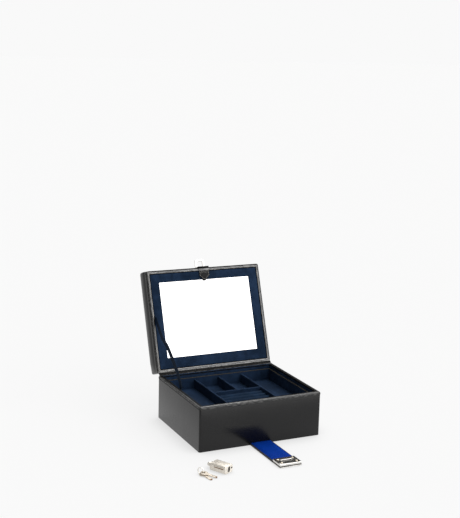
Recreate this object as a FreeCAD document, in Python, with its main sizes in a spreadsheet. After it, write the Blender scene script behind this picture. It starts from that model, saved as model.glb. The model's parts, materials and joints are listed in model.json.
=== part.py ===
# Leather jewellery and cufflink box with a mirrored lid, a lift-out tray,
# a locking strap, and the padlock and keys that go with it.
#
# Frame: millimetres, +Z up, the origin on the floor under the middle of the
# case, and the front of the case towards -Y.  The lid stands open, the strap
# lies forward on the floor, and the padlock and keys lie in front on the left.
# Every piece of the lid is drawn closed and turned open about the hinge axis.

import FreeCAD, Part
import os
import re
import Sketcher

Vector = FreeCAD.Vector

sizes = {
    # case
    "case_width": 220,
    "case_depth": 180,
    "case_height": 76,
    "corner_radius": 3,
    "leather": 1,
    "board": 5,
    "lining": 1,
    "base_board": 5,
    "base_cover": 1,
    "cover_inset": 3,
    "leather_clear": 0.4,
    "rim_height": 2.6,
    "rim_cap": 1.4,
    "rim_crease": 0.3,
    "rim_bevel": 0.5,
    "edge_bevel": 0.6,
    "cut_over": 1,
    # lid
    "lid_depth": 31,
    "lid_gap": 1.2,
    "lid_board": 4.4,
    "lid_top_board": 5,
    "open_angle": 110,
    "mirror_side_margin": 22.4,
    "mirror_front_margin": 21.7,
    "mirror_back_margin": 25,
    "frame_recess": 0.6,
    "frame_card": 1.6,
    "mirror_glass": 2,
    "mirror_overlap": 4,
    "backing_board": 2,
    "lid_spacer": 4,
    "fit_gap": 0.2,
    # hinges
    "hinge_offset": 1.9,
    "hinge_spacing": 120,
    "hinge_width": 30,
    "leaf_height": 13,
    "leaf": 1,
    "barrel_radius": 1.7,
    "pin_radius": 0.9,
    "pin_clear": 0.06,
    "knuckle_gap": 0.25,
    # tray
    "tray_clear": 0.8,
    "tray_drop": 7.5,
    "tray_depth": 22.5,
    "tray_wall": 2.5,
    "tray_floor": 2,
    "tray_lining": 0.8,
    "tray_tape": 0.8,
    "ledge_card": 2,
    "divider": 3,
    "divider_drop": 3.5,
    "divider_round": 1,
    "column_line": 45,
    "cross_line": 2,
    "roll_count": 6,
    "roll_drop": 4.5,
    "roll_bed": 4,
    "roll_gap": 0.5,
    "roll_round_share": 0.46,
    # strap
    "strap_width": 38,
    "strap_leather": 2.6,
    "strap_lining": 1.2,
    "strap_tail": 38,
    "strap_notch_clear": 0.5,
    "fold_out": 3,
    "fold_level": 5.5,
    "fold_gap": 0.2,
    "plate": 1.2,
    "plate_inner": 3.2,
    "plate_length": 26,
    "plate_core": 1.8,
    "plate_corner": 1.5,
    "plate_slot_set": 13.6,
    "slot_length": 20.6,
    "slot_height": 6.4,
    "slot_round": 1.9,
    "strap_lap": 0.5,
    # lid tab and staple
    "tab_width": 20,
    "tab_leather": 2,
    "tab_rim": 0.9,
    "tab_tip": 1,
    "tab_fold_round": 1.4,
    "tab_inner_reach": 24.2,
    "tab_inner_point": 9,
    "tab_top_reach": 26,
    "tab_top_point": 9,
    "staple_rise": 16,
    "staple_reach": 17,
    "staple_width": 18.2,
    "staple_leg": 3.9,
    "staple_thickness": 3.4,
    "staple_root": 4.8,
    "staple_outer_round": 4.6,
    "staple_inner_round": 2.2,
    # stay ribbon
    "ribbon_width": 10,
    "ribbon": 0.5,
    "ribbon_case_y": 12,
    "ribbon_case_z": 72,
    "ribbon_lid_reach": 100,
    "ribbon_end_clear": 0.1,
    "ribbon_side_clear": 0.1,
    # padlock
    "lock_x": -100.1,
    "lock_y": -181.2,
    "lock_yaw": 28,
    "lock_width": 20,
    "lock_length": 30,
    "lock_thickness": 12.6,
    "lock_bevel": 2.4,
    "lock_edge": 0.7,
    "shackle_wire": 1.8,
    "shackle_half_span": 5.7,
    "shackle_rise": 2.6,
    "shackle_long_leg": 12,
    "shackle_short_leg": 4,
    "shackle_clear": 0.08,
    "shackle_hole_spare": 1,
    "plug_radius": 4.4,
    "plug_length": 12.5,
    "plug_clear": 0.08,
    "keyway_width": 2.2,
    "keyway_height": 6.6,
    "keyway_depth": 11,
    # keys and ring
    "key_thickness": 1.5,
    "key_head_radius": 6,
    "key_head_set": 1.7,
    "key_hole_radius": 2.8,
    "key_blade_width": 5.2,
    "key_length": 24,
    "key_notch": 1.2,
    "key_shoulder": 6.5,
    "key_first_cut": 2.4,
    "key_cut_pitch": 4.1,
    "key_tip": 1.6,
    "key_tip_half": 0.6,
    "ring_x": -142,
    "ring_y": -169.5,
    "ring_yaw": -65,
    "key_one_yaw": -52,
    "key_one_dip": 6,
    "key_one_level": 3.5,
    "key_two_yaw": -78,
    "key_two_dip": 2.4,
    "key_two_level": 1.2,
    "ring_radius": 5.3,
    "ring_wire": 1,
    "ring_height": 1.9,
    "ring_groove": 0.35,
}

# Lengths worked out from the sizes above, used by several pieces.
derived = {
    "half_width": "case_width / 2",
    "half_depth": "case_depth / 2",
    "board_x": "half_width - leather",
    "board_y": "half_depth - leather",
    "cavity_x": "board_x - board",
    "cavity_y": "board_y - board",
    "inner_x": "cavity_x - lining",
    "inner_y": "cavity_y - lining",
    "rim_base": "case_height - rim_height",
    "board_top": "case_height - rim_cap",
    "base_top": "base_cover + base_board",
    "floor_top": "base_top + lining",
    "lid_base": "case_height + lid_gap",
    "lid_top": "lid_base + lid_depth",
    "lid_rim_top": "lid_base + rim_height",
    "lid_board_base": "lid_base + rim_cap",
    "lid_board_top": "lid_top - leather - lid_top_board",
    "lid_cavity_x": "board_x - lid_board",
    "lid_cavity_y": "board_y - lid_board",
    "lid_inner_x": "lid_cavity_x - leather",
    "lid_inner_y": "lid_cavity_y - leather",
    "frame_face": "lid_base + frame_recess",
    "mirror_face": "frame_face + frame_card",
    "mirror_back": "mirror_face + mirror_glass",
    "backing_top": "mirror_back + backing_board",
    "mirror_x": "half_width - mirror_side_margin",
    "mirror_low_y": "mirror_front_margin - half_depth",
    "mirror_high_y": "half_depth - mirror_back_margin",
    "axis_y": "half_depth + hinge_offset",
    "axis_z": "case_height + lid_gap / 2",
    "tray_x": "inner_x - tray_clear",
    "tray_y": "inner_y - tray_clear",
    "tray_top": "case_height - tray_drop",
    "tray_bottom": "tray_top - tray_depth",
    "tray_bed": "tray_bottom + tray_floor",
    "tray_bed_top": "tray_bed + tray_lining",
    "tray_wall_top": "tray_top - tray_tape",
    "tray_inner_x": "tray_x - tray_wall",
    "tray_inner_y": "tray_y - tray_wall",
    "divider_top": "tray_top - divider_drop",
    "column_inner": "column_line - divider / 2",
    "cross_front": "cross_line - divider / 2",
    "roll_top": "divider_top - roll_drop",
    "roll_pitch": "(tray_inner_y + cross_front - 2 * fit_gap) / roll_count",
    "strap_thickness": "strap_leather + strap_lining",
    "fold_y": "-half_depth - fold_out",
    "plate_top": "plate + plate_core + plate_inner",
    "staple_z": "lid_base + staple_rise",
    "slot_y": "fold_y + fold_level - staple_z",
    "plate_near": "slot_y + plate_length - plate_slot_set",
    "plate_far": "slot_y - plate_slot_set",
    "tab_face": "half_depth + tab_leather",
    "ribbon_lid_depth": "frame_face - axis_z - ribbon_end_clear",
}

doc = FreeCAD.newDocument("jewellery_box")
sheet = doc.addObject("Spreadsheet::Sheet", "Sizes")
for row, (alias, value) in enumerate(sizes.items(), 1):
    sheet.set(f"A{row}", alias)
    sheet.set(f"B{row}", str(value))
    sheet.setAlias(f"B{row}", alias)
doc.recompute()

wordPattern = re.compile(r"[a-z][a-z_]*[a-z]")
nearly = 5e-4  # two lengths this close are the same
hair = "0.001"  # a sketch distance that must not be zero
functionWords = {"deg", "cos", "sin", "tan", "atan", "asin", "sqrt", "vector", "rotation", "placement", "abs"}


def bound(text):
    # Turn "half_width - leather" into an expression on the sheet's cells.
    def swap(match):
        word = match.group(0)
        if word in derived:
            return f"({bound(derived[word])})"
        if word in sizes:
            return f"Sizes.{word}"
        if word in functionWords:
            return word
        raise KeyError(word)

    return wordPattern.sub(swap, str(text))


def number(text):
    # The value that an expression has now, for choosing edges.
    return float(FreeCAD.Units.Quantity(sheet.evalExpression(bound(text).replace("Sizes.", ""))).Value)


parts = []
openPlacement = (
    "placement(vector(0;"
    " axis_y - axis_y * cos(open_angle) - axis_z * sin(open_angle);"
    " axis_z + axis_y * sin(open_angle) - axis_z * cos(open_angle));"
    " vector(1; 0; 0); -open_angle)"
)


def newBody(name, placement=None):
    body = doc.addObject("PartDesign::Body", name)
    body.Label = name
    if placement:
        body.setExpression("Placement", bound(placement))
    parts.append(body)
    return body


def newSketch(body, plane, level):
    sketch = body.newObject("Sketcher::SketchObject", f"{body.Label}_sketch")
    support = [item for item in body.Origin.OriginFeatures if item.Role == plane][0]
    sketch.AttachmentSupport = [(support, "")]
    sketch.MapMode = "FlatFace"
    if str(level) != "0":
        sketch.setExpression("AttachmentOffset.Base.z", bound(level))
    return sketch


def constrain(sketch, kind, geometry, point, text):
    index = sketch.addConstraint(Sketcher.Constraint(kind, -1, 1, geometry, point, number(text)))
    label = f"c{index}"
    sketch.renameConstraint(index, label)
    sketch.setExpression(f"Constraints.{label}", bound(text))


def polygon(sketch, points):
    # A closed outline whose corners are pairs of expressions.
    start = [Vector(number(x), number(y), 0) for x, y in points]
    count = len(points)
    first = sketch.GeometryCount
    for index in range(count):
        sketch.addGeometry(Part.LineSegment(start[index], start[(index + 1) % count]))
    for index in range(count):
        after = first + (index + 1) % count
        sketch.addConstraint(Sketcher.Constraint("Coincident", first + index, 2, after, 1))
    for index, (x, y) in enumerate(points):
        constrain(sketch, "DistanceX", first + index, 1, x)
        constrain(sketch, "DistanceY", first + index, 1, y)


def rectangle(sketch, x0, x1, y0, y1):
    polygon(sketch, [(x0, y0), (x1, y0), (x1, y1), (x0, y1)])


def circle(sketch, x, y, radius):
    index = sketch.addGeometry(Part.Circle(Vector(number(x), number(y), 0), Vector(0, 0, 1), number(radius)))
    constrain(sketch, "DistanceX", index, 3, x)
    constrain(sketch, "DistanceY", index, 3, y)
    size = sketch.addConstraint(Sketcher.Constraint("Radius", index, number(radius)))
    sketch.renameConstraint(size, f"c{size}")
    sketch.setExpression(f"Constraints.c{size}", bound(radius))


def pad(body, plane, level, length, draw, flip=False):
    sketch = newSketch(body, plane, level)
    draw(sketch)
    feature = body.newObject("PartDesign::Pad", f"{body.Label}_pad")
    feature.Profile = sketch
    feature.Reversed = flip
    feature.setExpression("Length", bound(length))
    doc.recompute()
    return feature


def pocket(body, plane, level, draw, length=None, flip=False):
    before = body.Shape.Volume
    sketch = newSketch(body, plane, level)
    draw(sketch)
    feature = body.newObject("PartDesign::Pocket", f"{body.Label}_pocket")
    feature.Profile = sketch
    if length is None:
        feature.Type = "ThroughAll"
        feature.Midplane = True
    else:
        feature.Reversed = flip
        feature.setExpression("Length", bound(length))
    doc.recompute()
    if not body.Shape.Volume < before:
        raise RuntimeError(f"a pocket of {body.Label} cuts nothing")
    return feature


def roundEdges(body, radius, chosen, kind="Fillet"):
    tip = body.Tip
    names = [f"Edge{index}" for index, edge in enumerate(tip.Shape.Edges, 1) if chosen(edge)]
    if not names:
        raise RuntimeError(f"no edge of {body.Label} to round")
    feature = body.newObject(f"PartDesign::{kind}", f"{body.Label}_{kind.lower()}")
    feature.Base = (tip, names)
    feature.setExpression("Radius" if kind == "Fillet" else "Size", bound(radius))
    doc.recompute()
    return feature


def ends(edge):
    return edge.Vertexes[0].Point, edge.Vertexes[-1].Point


def upright(edge, x=None, y=None):
    # A straight edge along Z, at plus or minus x and y if they are given.
    a, b = ends(edge)
    if abs(a.x - b.x) > nearly or abs(a.y - b.y) > nearly or abs(a.z - b.z) < nearly:
        return False
    return (x is None or abs(abs(a.x) - x) < nearly) and (y is None or abs(abs(a.y) - y) < nearly)


def atLevel(edge, level):
    # An edge that lies whole in the plane z = level.
    box = edge.BoundBox
    return abs(box.ZMin - level) < nearly and abs(box.ZMax - level) < nearly


def block(name, x0, x1, y0, y1, z0, z1, placement=None):
    # A plain board between six expressions.
    body = newBody(name, placement)
    pad(body, "XY_Plane", z0, f"({z1}) - ({z0})", lambda sketch: rectangle(sketch, x0, x1, y0, y1))
    return body


def ring(name, outer, inner, z0, z1, placement=None):
    # A frame between an outer and an inner rectangle, each (half x, half y).
    def draw(sketch):
        rectangle(sketch, f"-({outer[0]})", outer[0], f"-({outer[1]})", outer[1])
        rectangle(sketch, f"-({inner[0]})", inner[0], f"-({inner[1]})", inner[1])

    body = newBody(name, placement)
    pad(body, "XY_Plane", z0, f"({z1}) - ({z0})", draw)
    return body


# ---------------------------------------------------------------- case

for name, sign in (("case_front_board", -1), ("case_back_board", 1)):
    low, high = ("-board_y", "-cavity_y") if sign < 0 else ("cavity_y", "board_y")
    body = block(name, "-board_x", "board_x", low, high, "base_cover", "board_top")
    roundEdges(body, "corner_radius - leather",
               lambda edge: upright(edge, number("board_x"), number("board_y")))
    if sign < 0:
        pocket(body, "XY_Plane", "base_cover", lambda sketch: rectangle(
            sketch, "-strap_width / 2 - strap_notch_clear", "strap_width / 2 + strap_notch_clear",
            "-board_y - cut_over", "cut_over - cavity_y"),
            "strap_thickness + strap_notch_clear - base_cover", flip=True)

for name, sign in (("case_left_board", -1), ("case_right_board", 1)):
    low, high = ("-board_x", "-cavity_x") if sign < 0 else ("cavity_x", "board_x")
    block(name, low, high, "-cavity_y", "cavity_y", "base_cover", "board_top")

body = block("base_board", "-cavity_x", "cavity_x", "-cavity_y", "cavity_y", "base_cover", "base_top")
pocket(body, "XY_Plane", "base_cover", lambda sketch: rectangle(
    sketch, "-strap_width / 2 - strap_notch_clear", "strap_width / 2 + strap_notch_clear",
    "-cavity_y - cut_over", "strap_tail - half_depth + strap_notch_clear"),
    "strap_thickness + strap_notch_clear - base_cover", flip=True)

body = block("base_cover", "cover_inset - half_width", "half_width - cover_inset",
             "cover_inset - half_depth", "half_depth - cover_inset", "0", "base_cover")
roundEdges(body, "corner_radius", lambda edge: upright(edge))
pocket(body, "XY_Plane", "0", lambda sketch: rectangle(
    sketch, "-strap_width / 2 - strap_notch_clear", "strap_width / 2 + strap_notch_clear",
    "-half_depth", "strap_tail - half_depth + strap_notch_clear"))

body = ring("case_leather", ("half_width", "half_depth"), ("board_x", "board_y"),
            "leather_clear", "rim_base - rim_crease")
roundEdges(body, "corner_radius", lambda edge: upright(edge, number("half_width"), number("half_depth")))
roundEdges(body, "corner_radius - leather", lambda edge: upright(edge, number("board_x"), number("board_y")))
pocket(body, "XY_Plane", "0", lambda sketch: rectangle(
    sketch, "-strap_width / 2 - strap_notch_clear", "strap_width / 2 + strap_notch_clear",
    "-half_depth - cut_over", "cut_over / 2 - board_y"), "strap_thickness + strap_notch_clear", flip=True)


def rimBinding(name, halfX, halfY, thickness, base, hollow, placement=None):
    # A leather-covered channel that caps the four walls.
    inner = (f"{halfX} - leather - {thickness} - leather", f"{halfY} - leather - {thickness} - leather")
    body = ring(name, (halfX, halfY), inner, base, f"{base} + rim_height", placement)
    roundEdges(body, "corner_radius", lambda edge: upright(edge, number(halfX), number(halfY)))
    top = number(f"{base} + rim_height") if hollow == "below" else number(base)
    roundEdges(body, "rim_bevel", lambda edge: atLevel(edge, top), "Chamfer")

    def channel(sketch):
        rectangle(sketch, f"leather - {halfX}", f"{halfX} - leather",
                  f"leather - {halfY}", f"{halfY} - leather")
        rectangle(sketch, f"leather + {thickness} - {halfX}", f"{halfX} - leather - {thickness}",
                  f"leather + {thickness} - {halfY}", f"{halfY} - leather - {thickness}")

    start = base if hollow == "below" else f"{base} + rim_cap"
    pocket(body, "XY_Plane", start, channel, "rim_height - rim_cap", flip=True)
    return body


rimBinding("case_rim_binding", "half_width", "half_depth", "board", "rim_base", "below")

ring("case_wall_lining", ("cavity_x", "cavity_y"), ("inner_x", "inner_y"), "base_top", "rim_base")
block("floor_lining", "-inner_x", "inner_x", "-inner_y", "inner_y", "base_top", "floor_top")
ring("tray_ledge", ("inner_x", "inner_y"), ("inner_x - ledge_card", "inner_y - ledge_card"),
     "floor_top", "tray_bottom")

block("strap_anchor", "-strap_width / 2", "strap_width / 2", "fold_y + fold_gap",
      "strap_tail - half_depth", "0", "strap_thickness")

# ---------------------------------------------------------------- hinges

for side, sign in (("left", -1), ("right", 1)):
    middle = f"{sign} * hinge_spacing / 2"
    low, high = f"{middle} - hinge_width / 2", f"{middle} + hinge_width / 2"
    third = "hinge_width / 3"
    clear = "barrel_radius + knuckle_gap"

    body = newBody(f"case_hinge_leaf_{side}")
    pad(body, "XZ_Plane", "-half_depth - leaf", "leaf", lambda sketch: polygon(sketch, [
        (low, "axis_z - leaf_height"), (high, "axis_z - leaf_height"), (high, "axis_z"),
        (f"{high} - {third} + knuckle_gap / 2", "axis_z"),
        (f"{high} - {third} + knuckle_gap / 2", f"axis_z - {clear}"),
        (f"{low} + {third} - knuckle_gap / 2", f"axis_z - {clear}"),
        (f"{low} + {third} - knuckle_gap / 2", "axis_z"), (low, "axis_z")]))
    for start in (low, f"{high} - {third} + knuckle_gap / 2"):
        pad(body, "YZ_Plane", start, f"{third} - knuckle_gap / 2",
            lambda sketch: circle(sketch, "axis_y", "axis_z", "barrel_radius"))
    pocket(body, "YZ_Plane", "0", lambda sketch: circle(sketch, "axis_y", "axis_z", "pin_radius"))

    body = newBody(f"lid_hinge_leaf_{side}", openPlacement)
    pad(body, "XZ_Plane", "-half_depth - leaf", "leaf", lambda sketch: polygon(sketch, [
        (low, "axis_z + leaf_height"), (low, f"axis_z + {clear}"),
        (f"{low} + {third} + knuckle_gap / 2", f"axis_z + {clear}"),
        (f"{low} + {third} + knuckle_gap / 2", "axis_z"),
        (f"{high} - {third} - knuckle_gap / 2", "axis_z"),
        (f"{high} - {third} - knuckle_gap / 2", f"axis_z + {clear}"),
        (high, f"axis_z + {clear}"), (high, "axis_z + leaf_height")]))
    pad(body, "YZ_Plane", f"{low} + {third} + knuckle_gap / 2", f"{third} - knuckle_gap",
        lambda sketch: circle(sketch, "axis_y", "axis_z", "barrel_radius"))
    pocket(body, "YZ_Plane", "0", lambda sketch: circle(
        sketch, "axis_y", "axis_z", "pin_radius + pin_clear"))


def hingePin(name, x):
    rod = doc.addObject("Part::Cylinder", f"{name}_rod")
    rod.setExpression("Radius", bound("pin_radius"))
    rod.setExpression("Height", bound("hinge_width"))
    rod.setExpression("Placement", bound(f"placement(vector({x}; axis_y; axis_z); vector(0; 1; 0); 90)"))
    return rod


pinGroup = doc.addObject("Part::Compound", "hinge_pins")
pinGroup.Label = "hinge_pins"
pinGroup.Links = [hingePin(f"pin_{index}", f"{sign} * hinge_spacing / 2 - hinge_width / 2")
                  for index, sign in enumerate((-1, 1))]
parts.append(pinGroup)


# ---------------------------------------------------------------- lid

block("lid_top_board", "-board_x", "board_x", "-board_y", "board_y",
      "lid_board_top", "lid_top - leather", openPlacement)
for name, low, high in (("lid_front_board", "-board_y", "-lid_cavity_y"),
                        ("lid_back_board", "lid_cavity_y", "board_y")):
    body = block(name, "-board_x", "board_x", low, high, "lid_board_base", "lid_board_top", openPlacement)
    roundEdges(body, "corner_radius - leather",
               lambda edge: upright(edge, number("board_x"), number("board_y")))
roundEdges(doc.lid_top_board, "corner_radius - leather", lambda edge: upright(edge))
for name, low, high in (("lid_left_board", "-board_x", "-lid_cavity_x"),
                        ("lid_right_board", "lid_cavity_x", "board_x")):
    block(name, low, high, "-lid_cavity_y", "lid_cavity_y", "lid_board_base", "lid_board_top", openPlacement)

body = block("lid_leather", "-half_width", "half_width", "-half_depth", "half_depth",
             "lid_rim_top + rim_crease", "lid_top", openPlacement)
roundEdges(body, "corner_radius", lambda edge: upright(edge))
roundEdges(body, "edge_bevel", lambda edge: atLevel(edge, number("lid_top")), "Chamfer")
pocket(body, "XY_Plane", "lid_rim_top + rim_crease", lambda sketch: rectangle(
    sketch, "-board_x", "board_x", "-board_y", "board_y"),
    "lid_top - leather - lid_rim_top - rim_crease", flip=True)
roundEdges(body, "corner_radius - leather", lambda edge: upright(edge, number("board_x"), number("board_y")))

rimBinding("lid_rim_binding", "half_width", "half_depth", "lid_board", "lid_base", "above", openPlacement)


def mirrorOpening(sketch):
    rectangle(sketch, "-(lid_inner_x - fit_gap)", "lid_inner_x - fit_gap",
              "-(lid_inner_y - fit_gap)", "lid_inner_y - fit_gap")
    rectangle(sketch, "-mirror_x", "mirror_x", "mirror_low_y", "mirror_high_y")


body = newBody("mirror_frame", openPlacement)
pad(body, "XY_Plane", "frame_face", "frame_card", mirrorOpening)
roundEdges(body, "corner_radius - leather", lambda edge: upright(edge, number("lid_inner_x - fit_gap")))
block("mirror_glass", "-mirror_x - mirror_overlap", "mirror_x + mirror_overlap",
      "mirror_low_y - mirror_overlap", "mirror_high_y + mirror_overlap",
      "mirror_face", "mirror_back", openPlacement)


def mirrorSurround(sketch):
    rectangle(sketch, "-(lid_inner_x - fit_gap)", "lid_inner_x - fit_gap",
              "-(lid_inner_y - fit_gap)", "lid_inner_y - fit_gap")
    rectangle(sketch, "-mirror_x - mirror_overlap - fit_gap", "mirror_x + mirror_overlap + fit_gap",
              "mirror_low_y - mirror_overlap - fit_gap", "mirror_high_y + mirror_overlap + fit_gap")


body = newBody("mirror_surround", openPlacement)
pad(body, "XY_Plane", "mirror_face", "mirror_glass", mirrorSurround)
roundEdges(body, "corner_radius - leather", lambda edge: upright(edge, number("lid_inner_x - fit_gap")))
block("mirror_backing", "-(lid_inner_x - fit_gap)", "lid_inner_x - fit_gap",
      "-(lid_inner_y - fit_gap)", "lid_inner_y - fit_gap", "mirror_back", "backing_top", openPlacement)
ring("lid_spacer_frame", ("lid_cavity_x", "lid_cavity_y"),
     ("lid_cavity_x - lid_spacer", "lid_cavity_y - lid_spacer"),
     "backing_top", "lid_board_top", openPlacement)

# Leather tab: in from its point on the mirror frame, round the rim, up the
# front wall and back to a point on the top.
body = newBody("lid_tab", openPlacement)
pad(body, "YZ_Plane", "-tab_width / 2", "tab_width", lambda sketch: polygon(sketch, [
    ("-tab_face", "lid_base - tab_rim"), ("tab_inner_reach - half_depth", "lid_base - tab_rim"),
    ("tab_inner_reach - half_depth", "frame_face"), ("leather - lid_inner_y - leather", "frame_face"),
    ("leather - lid_inner_y - leather", "lid_base"), ("-half_depth", "lid_base"),
    ("-half_depth", "lid_top"), ("tab_top_reach - half_depth", "lid_top"),
    ("tab_top_reach - half_depth", "lid_top + tab_leather"), ("-tab_face", "lid_top + tab_leather")]))
for reach, point, level, length in (
        ("tab_inner_reach", "tab_inner_point", "lid_base - tab_rim - cut_over",
         "frame_recess + tab_rim + 2 * cut_over"),
        ("tab_top_reach", "tab_top_point", "lid_top - cut_over", "tab_leather + 2 * cut_over")):
    for sign in (-1, 1):
        pocket(body, "XY_Plane", level, lambda sketch: polygon(sketch, [
            (f"{sign} * (tab_width / 2 + cut_over)", f"{reach} - half_depth - {point}"),
            (f"{sign} * tab_width / 2", f"{reach} - half_depth - {point}"),
            (f"{sign} * tab_tip / 2", f"{reach} - half_depth"),
            (f"{sign} * tab_tip / 2", f"{reach} - half_depth + cut_over"),
            (f"{sign} * (tab_width / 2 + cut_over)", f"{reach} - half_depth + cut_over")]), length, True)
roundEdges(body, "tab_fold_round", lambda edge: abs(edge.BoundBox.YMax + number("tab_face")) < nearly
           and edge.BoundBox.XLength > nearly and edge.BoundBox.ZMax > number("lid_top"))

# The staple is a plate loop whose two legs go through the tab and the leather
# into the front board.
body = newBody("lid_staple", openPlacement)
pad(body, "XY_Plane", "staple_z - staple_thickness / 2", "staple_thickness", lambda sketch: rectangle(
    sketch, "-staple_width / 2", "staple_width / 2",
    "-half_depth - staple_reach", "staple_root - half_depth"))
roundEdges(body, "staple_outer_round", lambda edge: upright(edge)
           and abs(edge.BoundBox.YMin + number("half_depth + staple_reach")) < nearly)
pocket(body, "XY_Plane", "staple_z", lambda sketch: rectangle(
    sketch, "staple_leg - staple_width / 2", "staple_width / 2 - staple_leg",
    "staple_leg - half_depth - staple_reach", "staple_root - half_depth + cut_over"))
roundEdges(body, "staple_inner_round", lambda edge: upright(edge)
           and abs(edge.BoundBox.YMin + number("half_depth + staple_reach - staple_leg")) < nearly)


def legSlots(sketch):
    for sign in (-1, 1):
        near, far = f"{sign} * (staple_width / 2 - staple_leg)", f"{sign} * staple_width / 2"
        rectangle(sketch, near, far, "staple_z - staple_thickness / 2", "staple_z + staple_thickness / 2")


for leggedPiece in ("lid_tab", "lid_leather", "lid_front_board"):
    pocket(doc.getObject(leggedPiece), "XZ_Plane", "half_depth - staple_root", legSlots,
           "staple_root + tab_leather + cut_over", flip=True)

# ---------------------------------------------------------------- tray

block("tray_floor", "-tray_x", "tray_x", "-tray_y", "tray_y", "tray_bottom", "tray_bed")
block("tray_floor_lining", "-tray_inner_x", "tray_inner_x", "-tray_inner_y", "tray_inner_y",
      "tray_bed", "tray_bed_top")
block("tray_front_wall", "-tray_x", "tray_x", "-tray_y", "-tray_inner_y", "tray_bed", "tray_wall_top")
block("tray_back_wall", "-tray_x", "tray_x", "tray_inner_y", "tray_y", "tray_bed", "tray_wall_top")
block("tray_left_wall", "-tray_x", "-tray_inner_x", "-tray_inner_y", "tray_inner_y",
      "tray_bed", "tray_wall_top")
block("tray_right_wall", "tray_inner_x", "tray_x", "-tray_inner_y", "tray_inner_y",
      "tray_bed", "tray_wall_top")
ring("tray_rim_tape", ("tray_x", "tray_y"), ("tray_inner_x", "tray_inner_y"), "tray_wall_top", "tray_top")
for name, sign in (("tray_left_divider", -1), ("tray_right_divider", 1)):
    block(name, f"{sign} * column_line - divider / 2", f"{sign} * column_line + divider / 2",
          "-tray_inner_y", "tray_inner_y", "tray_bed_top", "divider_top")
block("tray_cross_divider", "-column_inner", "column_inner", "cross_front", "cross_front + divider",
      "tray_bed_top", "divider_top")
block("tray_short_divider", "-divider / 2", "divider / 2", "cross_front + divider", "tray_inner_y",
      "tray_bed_top", "divider_top")
for tallPiece in ("tray_left_divider", "tray_right_divider", "tray_cross_divider", "tray_short_divider"):
    lengthwise = "XLength" if tallPiece == "tray_cross_divider" else "YLength"
    roundEdges(doc.getObject(tallPiece), "divider_round", lambda edge: atLevel(edge, number("divider_top"))
               and getattr(edge.BoundBox, lengthwise) > number("divider") + nearly)

body = newBody("ring_rolls")
pad(body, "XY_Plane", "tray_bed_top", "roll_bed", lambda sketch: rectangle(
    sketch, "fit_gap - column_inner", "column_inner - fit_gap",
    "fit_gap - tray_inner_y", "cross_front - fit_gap"))
roll = pad(body, "YZ_Plane", "fit_gap - column_inner", "2 * column_inner - 2 * fit_gap",
           lambda sketch: rectangle(sketch, "fit_gap - tray_inner_y + roll_gap / 2",
                                    "fit_gap - tray_inner_y + roll_pitch - roll_gap / 2",
                                    "tray_bed_top + roll_bed / 2", "roll_top"))
rollRound = roundEdges(
    body, "(roll_pitch - roll_gap) * roll_round_share",
    lambda edge: atLevel(edge, number("roll_top")) and edge.BoundBox.XLength > number("roll_pitch"))
pattern = body.newObject("PartDesign::LinearPattern", "ring_rolls_pattern")
pattern.Originals = [roll, rollRound]
pattern.Direction = ([item for item in body.Origin.OriginFeatures if item.Role == "Y_Axis"][0], [""])
pattern.setExpression("Length", bound("roll_pitch * (roll_count - 1)"))
pattern.setExpression("Occurrences", bound("roll_count"))
body.Tip = pattern
doc.recompute()

# ---------------------------------------------------------------- strap

body = block("strap_leather", "-strap_width / 2", "strap_width / 2", "plate_near", "fold_y",
             "0", "strap_leather")
pad(body, "XY_Plane", "plate", "plate_core", lambda sketch: rectangle(
    sketch, "-strap_width / 2", "strap_width / 2", "plate_far + plate_corner / 2", "plate_near + strap_lap"))
block("strap_lining", "-strap_width / 2 + fit_gap", "strap_width / 2 - fit_gap",
      "plate_near + strap_lap", "fold_y", "strap_leather", "strap_thickness")


def slot(sketch):
    rectangle(sketch, "-slot_length / 2", "slot_length / 2",
              "slot_y - slot_height / 2", "slot_y + slot_height / 2")


pocket(doc.strap_leather, "XY_Plane", "0", slot)
for name, level, thickness in (("strap_plate_inner", "plate + plate_core", "plate_inner"),
                               ("strap_plate_outer", "0", "plate")):
    body = block(name, "-strap_width / 2", "strap_width / 2", "plate_far", "plate_near",
                 level, f"{level} + {thickness}")
    roundEdges(body, "plate_corner", lambda edge: upright(edge))
    pocket(body, "XY_Plane", "0", slot)
    roundEdges(body, "slot_round", lambda edge: upright(edge, number("slot_length / 2")))

# ---------------------------------------------------------------- stay ribbon

# A flat ribbon inside the left wall, from the case up to the open lid.  Its
# upper end is ribbon_lid_reach along the lid's rim from the hinge axis.
ribbonLidY = "(axis_y + ribbon_lid_reach * sin(open_angle - 90) + ribbon_lid_depth * cos(open_angle - 90))"
ribbonLidZ = "(axis_z + ribbon_lid_reach * cos(open_angle - 90) - ribbon_lid_depth * sin(open_angle - 90))"
ribbonRun = f"sqrt(({ribbonLidY} - ribbon_case_y) ^ 2 + ({ribbonLidZ} - ribbon_case_z) ^ 2)"
ribbonSlope = f"atan(({ribbonLidZ} - ribbon_case_z) / ({ribbonLidY} - ribbon_case_y)) / 1 deg"
ribbonSlant = f"ribbon_width / 2 / tan(180 - open_angle - ({ribbonSlope}))"
body = newBody("lid_stay_ribbon", (
    f"placement(vector(ribbon_side_clear + ribbon / 2 - inner_x; ribbon_case_y; ribbon_case_z);"
    f" vector(1; 0; 0); {ribbonSlope})"))
pad(body, "YZ_Plane", "-ribbon / 2", "ribbon", lambda sketch: polygon(sketch, [
    (hair, "-ribbon_width / 2"), (f"{ribbonRun} - {ribbonSlant}", "-ribbon_width / 2"),
    (f"{ribbonRun} + {ribbonSlant}", "ribbon_width / 2"), (hair, "ribbon_width / 2")]))

# ---------------------------------------------------------------- padlock

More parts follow.
